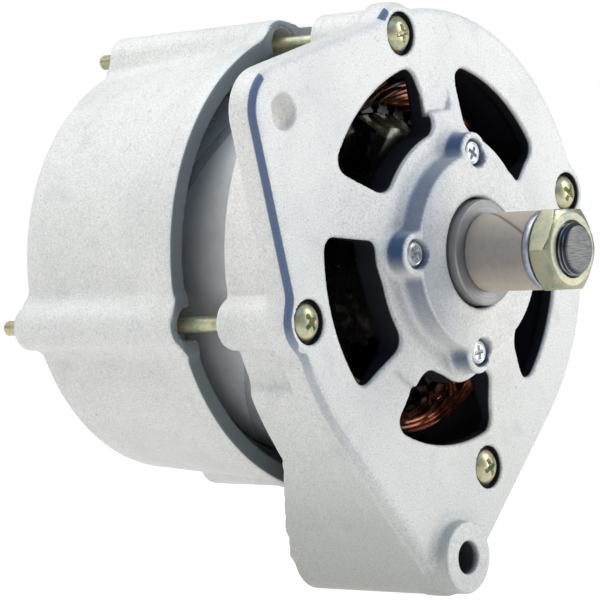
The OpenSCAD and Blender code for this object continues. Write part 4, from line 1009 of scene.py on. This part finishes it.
# Housing: grey painted shade on the lip's front and inside the drum
HOUSING_CAST = cast_aluminium("cast_aluminium_housing", housing_inside_shade, rgb(0.16, 0.185, 0.20))
YELLOW_ZINC = yellow_zinc("yellow_zinc", 0.0)
DULL_ZINC = yellow_zinc("dull_zinc", 0.5)
BRIGHT_ZINC = plated("bright_zinc", rgb(0.56, 0.58, 0.60), rgb(0.46, 0.48, 0.52))
WASHER_STEEL = plated("washer_steel", rgb(0.42, 0.46, 0.52), rgb(0.32, 0.35, 0.40))
TURNED_STEEL = lathe_steel("turned_steel", rgb(0.33, 0.33, 0.33), (0.42, 0.58), metallic=0.75)
DARK_STEEL = shaft_steel()
BEARING_STEEL = lathe_steel("bearing_steel", rgb(0.62, 0.63, 0.65), (0.12, 0.2))
RING_COPPER = lathe_steel("ring_copper", rgb(0.62, 0.30, 0.16), (0.15, 0.28))
CORE_STEEL = core_steel()
COPPER = enamelled_copper()
KRAFT = kraft_board()
CLAW_IRON = claw_iron()
SEAL_RUBBER = plain_grain("seal_rubber", rgb(0.02, 0.02, 0.021), rgb(0.03, 0.03, 0.03), (0.5, 0.7))
RESIN = plain_grain("moulded_resin", rgb(0.045, 0.03, 0.022), rgb(0.03, 0.02, 0.016), (0.35, 0.55), 700.0)
TERMINAL_RESIN = plain_grain("terminal_resin", rgb(0.11, 0.02, 0.014), rgb(0.08, 0.015, 0.01), (0.3, 0.5),
                             700.0)
SINK = plain_grain("sink_aluminium", rgb(0.55, 0.56, 0.57), rgb(0.47, 0.48, 0.5), (0.35, 0.5), 600.0, 0.8)
DIODE_PLATE = plated("diode_plate", rgb(0.58, 0.57, 0.54), rgb(0.50, 0.50, 0.50))
DIODE_BLACK = plain_grain("diode_black", rgb(0.015, 0.015, 0.016), rgb(0.02, 0.02, 0.02), (0.25, 0.4))
STUD_BRASS = plated("stud_brass", rgb(0.66, 0.50, 0.24), rgb(0.58, 0.45, 0.25))
CAGE_BRASS = plated("cage_brass", rgb(0.66, 0.49, 0.2), rgb(0.6, 0.45, 0.2))
CAN = plain_grain("regulator_can", rgb(0.42, 0.43, 0.45), rgb(0.36, 0.37, 0.39), (0.35, 0.5), 900.0, 0.7)
CARBON = plain_grain("brush_carbon", rgb(0.03, 0.028, 0.027), rgb(0.05, 0.035, 0.03), (0.4, 0.6), 900.0, 0.2)
SPRING_STEEL = plated("spring_steel", rgb(0.6, 0.6, 0.62), rgb(0.52, 0.52, 0.55))


# Castings

def marks_of(field, points):
    """Masks of painted highlight on a casting's edges and painted shade in its hollows, and its normals.
    Edges come from how the surface bends over a short distance. A hollow is a place where, some way out along
    the normal, the surface is nearer than it would be over open ground: the missing share is added up over
    four distances."""
    slope = slope_of(field, points, 0.3)
    normals = slope / np.maximum(np.linalg.norm(slope, axis=1, keepdims=True), 1e-6)
    # Painted highlight where the surface bends outwards; painted shade below, from the field's own occlusion
    edge = np.clip((bend_of(field, points, 0.9) - 0.35) / 0.9, 0, 1)
    missing = np.zeros(len(points))
    for away, share in ((1.5, 0.3), (3.0, 0.3), (6.0, 0.25), (11.0, 0.15)):
        clear = field(*(points + normals * away).T)
        missing += share * np.clip(1 - clear / away, 0, 1)
    return {"edge": edge, "hollow": np.clip(missing * 1.5, 0, 1)}, normals


def make_bracket():
    """Drive end bracket from its field, with the marks that its material reads."""
    low = [EAR_AT[0] - EAR_R - 3, HUB_FRONT - 3, LUG_AT[1] - LUG_R - 3]
    high = [BOLT_PITCH_R + 12, LUG_REAR + 3, BOLT_PITCH_R + 12]
    points, faces = contour(bracket_field, low, high, 0.95)
    marks, normals = marks_of(bracket_field, points)
    x, y, z = points.T
    # Flats on two spokes, which the painted shade leaves out
    marks["unshaded_flat"] = np.clip(1.5 - facet_field((x, y, z)) / 0.6, 0, 1)
    marks["hollow"] *= 1 - marks["unshaded_flat"]
    # Field of the rim's outline, less 8 mm beside the lug and where the outline doesn't face left. It places
    # the painted shade on the rim's left bevel.
    left = np.clip((rim_outline((x - 0.1, y, z)) - rim_outline((x + 0.1, y, z))) / 0.2 * 3 - 1.0, 0, 1)
    marks["rim"] = rim_outline((x, y, z)) - 8 * (1 - left * np.clip((z + 76) / 6, 0, 1))
    # Walls that stand across the plate and face left, and a little those that face up, get painted shade
    wall = np.clip((normals[:, 1] + 0.75) / 0.35, 0, 1)
    marks["left_wall_shade"] = wall * np.clip(0.4 * normals[:, 2] - 1.1 * normals[:, 0] - 0.1, 0, 1)
    # Painted shade, darker downwards on the flanks of the web
    marks["low_flank_shade"] = np.clip((normals[:, 1] + 0.6) / 0.3, 0, 1) * np.clip((-z - 42) / 40, 0, 1)
    return make_piece("drive_end_bracket_cast", points, faces, "housing", BRACKET_CAST,
                      ["drive_end_bracket"], sharp=0, closed=False, marks=marks, normals=normals)


def make_housing():
    """Slip ring end housing from its field."""
    reach = BOLT_PITCH_R + 11
    low, high = [-reach, LIP_FRONT - 3, -reach], [reach, REAR_FACE + 5, reach]
    points, faces = contour(housing_field, low, high, 1.05)
    marks, normals = marks_of(housing_field, points)
    return make_piece("slip_ring_end_housing_cast", points, faces, "housing", HOUSING_CAST,
                      ["slip_ring_end_housing"], sharp=0, closed=False, marks=marks, normals=normals)


# Fasteners and turned pieces

def cross_recess(x, z, arm_span, width, depth, turn):
    """Depth of a cross-shaped driver recess: two arms that shallow towards their ends."""
    c, s = polar(1, turn)
    u, v = np.abs(x * c + z * s), np.abs(-x * s + z * c)
    near, far = np.minimum(u, v), np.maximum(u, v)
    arm = np.clip((width / 2 - near) / 0.22 + 0.5, 0, 1) * np.clip((arm_span / 2 - far) / 0.5 + 0.5, 0, 1)
    return depth * arm * (1 - 0.45 * np.clip(far / (arm_span / 2), 0, 1))


def sunk_cross(arm_span, width, depth, turn, within_r, before):
    """Stations of a screw head whose top has a cross recess: its top is the part within a radius and before
    a station."""
    def station_of(radius, station, angle):
        recess = cross_recess(radius * np.cos(angle), radius * np.sin(angle), arm_span, width, depth, turn)
        return np.where((station < before) & (radius < within_r), station + recess, station)
    return station_of


def threaded(core_r, crest, pitch, y0, y1):
    """Radius on a thread: a wave that climbs one pitch in each turn, between two stations."""
    def radius_of(radius, station, angle):
        phase = (station / pitch - angle / (2 * math.pi)) % 1.0
        wave = 1 - np.abs(2 * phase - 1)
        cut = np.clip((station - y0) / (0.5 * pitch), 0, 1) * np.clip((y1 - station) / (0.5 * pitch), 0, 1)
        return np.where(np.abs(radius - core_r) < 1e-6, radius - crest * cut * wave, radius)
    return radius_of


def make_through_bolts():
    """Long screws with a domed cross-recess head, a plain shank and a threaded tip."""
    head_r, top = 5.5, -0.8
    tip = span("through_bolts")[1][1]
    rows = [(r, top + 2.4 * (r / head_r) ** 2.8) for r in np.linspace(0, head_r - 0.15, 30)]
    rows += [(head_r, top + 2.6), (head_r, BOLT_SEAT - 0.3), (head_r - 0.3, BOLT_SEAT), (BOLT_R, BOLT_SEAT)]
    rows += [(BOLT_R, y) for y in np.linspace(BOLT_SEAT + 1, REAR_FACE - 8, 30)]
    rows += [(BOLT_R, y) for y in np.arange(REAR_FACE - 7.9, tip - 0.7, 0.16)]
    rows += [(BOLT_R - 0.35, tip - 0.6), (1.9, tip - 0.1), (1.6, tip), (0, tip)]
    thread = threaded(BOLT_R, 0.3, 0.8, REAR_FACE - 6, tip - 0.5)
    parts = []
    for a, turn in zip(BOLT_ANGLES, (58, 12, 40, 25)):
        cross = sunk_cross(5.4, 1.25, 2.0, turn, head_r - 0.4, BOLT_SEAT - 0.5)
        parts.append(turned(rows, 64, polar(BOLT_PITCH_R, a), thread, cross))
    points, faces = joined(parts)
    return make_piece("through_bolts_plated", points, faces, "housing", YELLOW_ZINC,
                      ["through_bolts"], sharp=38)


def make_retainer_screws():
    """Short cheese-head screws with a rounded rim, a cross recess and a thin ring turned in the top."""
    low, high = span("retainer_screws")
    head_r, shank_r, ring_r, rim_r = 3.85, 2.0, 2.9, 3.1
    top, seat = low[1], low[1] + 2.4
    rows = [(r, top + 0.12 * math.exp(-((r - ring_r) / 0.14) ** 2) + 0.9 * max(0, (r - rim_r) / 0.75) ** 2.5)
            for r in np.linspace(0, 1, 30) * head_r]
    rows += [(head_r, seat - 0.1), (head_r - 0.1, seat), (shank_r, seat), (shank_r, high[1]), (0, high[1])]
    parts = []
    for a, turn in zip(SCREW_ANGLES, (20, 62, 38, 8)):
        cross = sunk_cross(4.0, 0.9, 1.4, turn, head_r - 0.5, seat - 0.5)
        parts.append(turned(rows, 56, polar(SCREW_PITCH_R, a), None, cross))
    points, faces = joined(parts)
    return make_piece("retainer_screws_plated", points, faces, "housing", BRIGHT_ZINC,
                      ["retainer_screws"], sharp=38)


def hexagon(angle, flats, turn):
    """Radius of a hexagon in a direction."""
    sixth = math.pi / 3
    return flats / 2 / np.cos((angle - turn + sixth / 2) % sixth - sixth / 2)


def nut_shape(at, flats, hole_r, y0, y1, edge, columns=144):
    """Hexagon nut: rows run from the hole's mouth over the face, round the flats and back through the hole.
    Cones at both ends cut the six corners, so each face shows a round rim and the flats their arcs. A row is
    its share of the way from the mouth to the outside, its station, and its share of the mouth's flare."""
    turn = math.pi / 6
    corner_r = flats / 2 / math.cos(turn)
    share = np.concatenate([np.zeros(3), np.linspace(0, 1, 12), np.ones(26), np.linspace(1, 0, 12),
                            np.zeros(3)])
    station = np.concatenate([[y0 + 1.6, y0 + 0.8, y0 + 0.35], np.full(12, y0), np.linspace(y0, y1, 28)[1:-1],
                              np.full(12, y1), [y1 - 0.3, y1 - 0.8, y1 - 1.6]])
    flare = np.concatenate([[0, 0.1, 0.55], np.linspace(0.9, 1, 12), np.ones(26), np.linspace(1, 0.9, 12),
                            [0.5, 0.1, 0]])

    def radius_of(part, y, angle):
        cone = corner_r - edge * 1.9 * np.clip((edge - np.minimum(y - y0, y1 - y)) / edge, 0, 1) ** 1.3
        outer = np.minimum(hexagon(angle, flats, turn), cone)
        mouth = hole_r + flare[:, None] * 0.9
        return mouth + part * (outer - mouth)
    return turned(np.stack([share, station], 1), columns, at, radius_of, wrap=True)


def make_shaft_nut():
    """Hexagon nut at the shaft's end, 24 mm across its flats."""
    low, high = span("shaft_nut")
    points, faces = nut_shape((0, 0), 24, 8.0, low[1], high[1], 1.5)
    return make_piece("shaft_nut_plated", points, faces, "rotor", DULL_ZINC, ["shaft_nut"],
                      sharp=32)


def make_shaft():
    """Shaft from its threaded end, which is sawn and faced, to the rear bearing."""
    low, high = span("shaft")
    tip, end = low[1], high[1]
    thread_r, pitch, thread_end = 7.97, 1.5, span("shaft_sleeve")[0][1] + 3.5
    neck_r, front_r, middle_r, rear_r = 7.2, 8.5, 8.0, 7.5
    rows = [(0, tip), (3, tip), (thread_r - 1.6, tip)]
    rows += [(thread_r - 1.3 + 1.3 * k / 4, tip + 0.08 + 1.2 * k / 4) for k in range(4)]
    rows += [(thread_r, y) for y in np.arange(tip + 1.3, thread_end - 0.2, pitch / 9)]
    rows += [(neck_r, thread_end - 0.2), (neck_r, thread_end), (front_r, thread_end + 0.4), (front_r, 20),
             (front_r, 66.9), (middle_r, 67), (middle_r, 98), (rear_r, 98), (rear_r, end - 1),
             (rear_r - 1, end), (0, end)]
    points, faces = turned(rows, 96, (0, 0), threaded(thread_r, 0.85, pitch, tip + 0.9, thread_end - 0.2))
    depth = thread_r - np.hypot(points[:, 0], points[:, 2])
    marks = {"crest": np.where(points[:, 1] < thread_end, np.clip(1 - depth / 0.35, 0, 1), 0.35)}
    return make_piece("shaft_threaded", points, faces, "rotor", DARK_STEEL, ["shaft"], sharp=30,
                      marks=marks)


def make_sleeve():
    """Paper tube with the groove of its spiral seam, which climbs from the top at the collar's end."""
    low, high = span("shaft_sleeve")
    y0, y1, outer, inner = low[1], high[1], high[0], high[0] - 1.5
    seam_at_collar, turn_per_mm = 90.0, 3.07
    seam_depth, seam_width = 0.22, 0.36
    rows = [(outer - 0.25, y0)]
    rows += [(outer, y) for y in np.linspace(y0 + 0.3, y1 - 0.3, 90)]
    rows += [(outer - 0.25, y1)]
    rows += [(inner, y) for y in np.linspace(y1, y0, 6)]

    def groove(station, angle):
        seam = seam_at_collar + (y1 - station) * turn_per_mm
        apart = (np.degrees(angle) - seam + 180) % 360 - 180
        return np.exp(-(np.radians(apart) * outer * 0.84 / seam_width) ** 2)

    def radius_of(radius, station, angle):
        return np.where(radius > outer - 0.1, radius - seam_depth * groove(station, angle), radius)
    points, faces = turned(rows, 160, (0, 0), radius_of, wrap=True)
    marks = {"seam": groove(points[:, 1], np.arctan2(points[:, 2], points[:, 0]))}
    return make_piece("shaft_sleeve_paper", points, faces, "rotor", KRAFT, ["shaft_sleeve"],
                      sharp=50, marks=marks)


def make_collar():
    """Turned ring whose rear end steps down to a narrow land against the bearing."""
    low, high = span("front_collar")
    y0, y1, outer, bore, land = low[1], high[1], high[0], 8.5, 12.7
    corners = [(bore, y0), (outer, y0), (outer, y1 - 1.2), (land, y1 - 1.2), (land, y1), (bore, y1)]
    chain = rounded(corners, 0.7, 4)
    points, faces = turned(profile_rows(chain + [chain[0]], 1.0)[:-1], 128, wrap=True)
    return make_piece("front_collar_turned", points, faces, "rotor", TURNED_STEEL,
                      ["front_collar"], sharp=50)


def make_washer():
    """Spring washer: a rounded rectangle carried most of the way round, its ends sprung apart."""
    low, high = span("spring_washer")
    y0, y1, outer, inner = low[1], high[1], high[0], 8.05
    section = np.array(rounded([(inner, 0.0), (outer, 0.0), (outer, 1.0), (inner, 1.0)], 0.35, 3))
    section[:, 1] = np.clip(section[:, 1], 0, 1) * (y1 - y0 - 0.5)
    count, sides = 100, len(section)
    gap = math.radians(3)
    angle = math.radians(50) + np.linspace(gap, 2 * math.pi - gap, count)
    rise = np.linspace(0.02, 0.48, count)
    radius = section[None, :, 0]
    station = y0 + section[None, :, 1] + rise[:, None]
    points = np.stack([radius * np.cos(angle)[:, None], station, radius * np.sin(angle)[:, None]], -1)
    ends = np.stack([np.arange(sides), (count - 1) * sides + np.arange(sides)[::-1]])
    return make_piece("spring_washer_split", points.reshape(-1, 3), [grid_faces(count, sides), ends], "rotor",
                      WASHER_STEEL, ["spring_washer"], sharp=40)


# Stator

def make_windings():
    """End turns at both ends: from each slot a bundle of strands leaves the core, leans over to the slot
    three further on while it moves from the outer to the inner layer, and goes back in. Each strand keeps its
    own place in the bundle, which loosens towards the crown."""
    slots, strands, points_along = 36, 9, 16
    outer_layer_r, layer_step, strand_r, crown_height = 54.6, 5.4, 0.78, 8.6
    t = np.linspace(0, 1, points_along)
    first = np.repeat(np.arange(slots), strands)
    count = len(first)
    off_radial = rng.uniform(-1.7, 1.7, count)[:, None]
    off_height = rng.uniform(-2.6, 2.6, count)[:, None]
    off_angle = rng.uniform(-1.5, 1.5, count)[:, None]
    crown = np.sin(math.pi * t)[None, :] ** 0.62
    lean = t - np.sin(2 * math.pi * t) / (2 * math.pi) * 0.55
    parts = []
    for end, core in ((-1, CORE_FRONT), (1, CORE_REAR)):
        angle = first[:, None] * 360.0 / slots + 35.0 * lean[None, :] + off_angle * (0.5 + crown)
        radius = outer_layer_r - layer_step * lean[None, :] + off_radial * (0.55 + 0.45 * crown)
        station = core + end * (0.6 + (crown_height + off_height) * crown)
        a = np.radians(angle)
        paths = np.stack([radius * np.cos(a), station, radius * np.sin(a)], -1)
        parts.append(tubes(paths, strand_r, 6))
    # A core of packed wire inside each ring of end turns
    inner_r, outer_r = 48.6, 55.0
    for y0, y1 in ((CORE_FRONT - 7.5, CORE_FRONT - 0.5), (CORE_REAR + 0.5, CORE_REAR + 7.5)):
        chain = rounded([(inner_r, y0), (outer_r, y0), (outer_r, y1), (inner_r, y1)], 2.0, 5)
        parts.append(turned(profile_rows(chain + [chain[0]], 2.0)[:-1], 96, wrap=True))
    points, faces = joined(parts)
    return make_piece("stator_winding_strands", points, faces, "housing", COPPER,
                      ["stator_winding"], sharp=60)


make_bracket()
make_housing()
make_through_bolts()
make_retainer_screws()
make_shaft()
make_shaft_nut()
make_washer()
make_sleeve()
make_collar()
make_windings()

for node_name, finish, slot_name, rides_on, width_mm in (
        ("front_claw_pole", CLAW_IRON, "claw_iron", "rotor", 0.8),
        ("rear_claw_pole", CLAW_IRON, "claw_iron", "rotor", 0.8),
        ("regulator", CAN, "regulator_can", "housing", 0.5),
        ("phase_terminal", BRIGHT_ZINC, "bright_zinc", "housing", 0.2),
        ("output_insulator", TERMINAL_RESIN, "terminal_resin", "housing", 0.4),
        ("exciter_insulator", TERMINAL_RESIN, "terminal_resin", "housing", 0.4),
        ("regulator_screws", BRIGHT_ZINC, "bright_zinc", "housing", 0.25)):
    softened(node_name, finish, rides_on, width_mm)


def make_terminal(name, stud, nut, at, stud_r, pitch):
    """Threaded stud with its nut, in one turned and one six-sided piece."""
    stud_low, stud_high = span(stud)
    nut_low, nut_high = span(nut)
    root, tip = stud_low[1], stud_high[1]
    rows = [(0, root), (1.6 * stud_r, root), (1.6 * stud_r, root + 4), (stud_r, root + 4)]
    rows += [(stud_r, y) for y in np.arange(nut_low[1] - 2, tip - 0.2 * stud_r, pitch / 7)]
    rows += [(0.8 * stud_r, tip - 0.02), (0.7 * stud_r, tip), (0, tip)]
    points, faces = turned(rows, 64, at, threaded(stud_r, 0.5 * pitch, pitch, nut_low[1] - 1, tip - 0.2))
    make_piece(name + "_stud_threaded", points, faces, "housing", STUD_BRASS, [stud], sharp=32)
    flats = nut_high[2] - nut_low[2]
    points, faces = nut_shape(at, flats, stud_r, nut_low[1], nut_high[1], 0.7, columns=96)
    make_piece(name + "_nut_plated", points, faces, "housing", YELLOW_ZINC, [nut], sharp=32)


make_terminal("output", "output_stud", "output_nut", OUTPUT_AT, 4.0, 1.25)
make_terminal("exciter", "exciter_stud", "exciter_nut", EXCITER_AT, 2.5, 0.8)

# CAD nodes whose shape is kept, by finish
KEPT = {
    CORE_STEEL: ["stator_core"],
    BRIGHT_ZINC: ["bearing_retainer_plate", "sink_screws"],
    BEARING_STEEL: ["front_bearing_outer_ring", "front_bearing_inner_ring", "front_bearing_balls",
                    "rear_bearing_outer_ring", "rear_bearing_inner_ring", "rear_bearing_balls"],
    CAGE_BRASS: ["front_bearing_cage", "rear_bearing_cage"],
    SEAL_RUBBER: ["front_bearing_seals", "rear_bearing_seals"],
    TURNED_STEEL: ["inner_spacer", "shaft_key"],
    COPPER: ["field_coil"],
    RESIN: ["coil_bobbin", "slip_ring_carrier", "brush_holder", "diode_board", "sink_spacers"],
    RING_COPPER: ["slip_rings"],
    SINK: ["positive_heat_sink", "negative_heat_sink"],
    DIODE_PLATE: ["positive_diodes", "negative_diodes"],
    DIODE_BLACK: ["exciter_diodes"],
    CARBON: ["front_brush", "rear_brush"],
    SPRING_STEEL: ["front_brush_spring", "rear_brush_spring"],
}
for finish, names in KEPT.items():
    for name in names:
        kept = frame["nodes"][name]
        kept.data.materials.clear()
        kept.data.materials.append(finish)


# Camera, floor and light

EYE = Vector((-0.72852, -0.54424, 0.08816))
AHEAD = Vector((0.77010752, 0.63786471, -0.00793828))
UPWARD = Vector((0.02730453, -0.02052751, 0.99941637))
FOCAL_PIXELS = 2943.5


def make_camera():
    """Camera at the photograph's place, its focal length from pixels to the sensor's width."""
    data = bpy.data.cameras.new("camera")
    data.sensor_width = 36.0
    data.lens = FOCAL_PIXELS / PHOTO_SIZE * data.sensor_width
    data.clip_start, data.clip_end = 0.05, 50.0
    camera = bpy.data.objects.new("camera", data)
    bpy.context.scene.collection.objects.link(camera)
    back = -AHEAD.normalized()
    right = UPWARD.cross(back).normalized()
    up = back.cross(right)
    turn = Matrix((right, up, back)).transposed().to_4x4()
    camera.matrix_world = Matrix.Translation(EYE) @ turn
    bpy.context.scene.camera = camera


def make_floor():
    """Pale floor under the lowest point: nearly white to the camera and in reflections, and a diffuse grey
    with a little light of its own to everything else, so it keeps a soft shadow."""
    size, level = 6.0, cad_low[2] - 0.0005
    mesh = bpy.data.meshes.new("floor")
    corners = [(-size, -size), (size, -size), (size, size), (-size, size)]
    mesh.from_pydata([(x, y, level) for x, y in corners], [], [(0, 1, 2, 3)])
    material = bpy.data.materials.new("pale_floor")
    material.use_nodes = True
    tree = material.node_tree
    tree.nodes.clear()
    rays = put(tree, "LightPath")
    seen = highest(tree, rays.outputs["Is Camera Ray"], rays.outputs["Is Glossy Ray"],
                   rays.outputs["Is Transmission Ray"])
    cloth = put(tree, "BsdfDiffuse", {"Color": rgb(0.86, 0.86, 0.86)})
    white = put(tree, "Emission", {"Color": rgb(1, 1, 1), "Strength": 1.22})
    share = ranged(tree, seen, 0.0, 1.0, 0.26, 0.82)
    mix = put(tree, "MixShader", {0: share, 1: cloth.outputs[0], 2: white.outputs[0]})
    put(tree, "OutputMaterial", {0: mix.outputs[0]})
    mesh.materials.append(material)
    floor = bpy.data.objects.new("floor", mesh)
    bpy.context.scene.collection.objects.link(floor)


def make_world(strength):
    """White to the camera, and a soft, slightly blue light from all round to everything else."""
    world = bpy.data.worlds.new("studio")
    bpy.context.scene.world = world
    world.use_nodes = True
    tree = world.node_tree
    tree.nodes.clear()
    rays = put(tree, "LightPath")
    seen = highest(tree, rays.outputs["Is Camera Ray"], rays.outputs["Is Transmission Ray"])
    soft = put(tree, "Background", {"Color": rgb(0.85, 0.93, 1.0), "Strength": strength})
    white = put(tree, "Background", {"Color": rgb(1, 1, 1), "Strength": 1.0})
    mix = put(tree, "MixShader", {0: seen, 1: soft.outputs[0], 2: white.outputs[0]})
    put(tree, "OutputWorld", {0: mix.outputs[0]})


def make_light(name, place, aim, size, power, colour=(1.0, 1.0, 1.0)):
    """Square soft box of a size in metres, at a place, turned to face a point."""
    data = bpy.data.lights.new(name, "AREA")
    data.shape = "SQUARE"
    data.size = size
    data.energy = power
    data.color = colour
    light = bpy.data.objects.new(name, data)
    bpy.context.scene.collection.objects.link(light)
    light.location = place
    light.rotation_mode = "QUATERNION"
    light.rotation_quaternion = (Vector(aim) - Vector(place)).to_track_quat("-Z", "Y")


make_camera()
make_floor()
make_world(0.24)
middle = (cad_low + cad_high) / 2
make_light("left_key", (-0.6, 0.35, 0.95), middle, 0.8, 5.0)
make_light("top_rear", (-0.1, 0.5, 1.2), middle, 0.8, 5.0)
make_light("rear_left_soft", (-0.75, 0.85, 0.15), middle, 1.0, 2.0)
make_light("front_right_near", (0.40, -0.52, 0.52), middle, 0.35, 2.4)
make_light("front_right_low", (0.72, -0.78, 0.02), middle, 0.6, 4.0)
make_light("front_blue", (-0.25, -0.55, 1.0), middle, 0.6, 1.6, (0.2, 0.5, 1.0))
bpy.context.scene.view_settings.view_transform = "Standard"
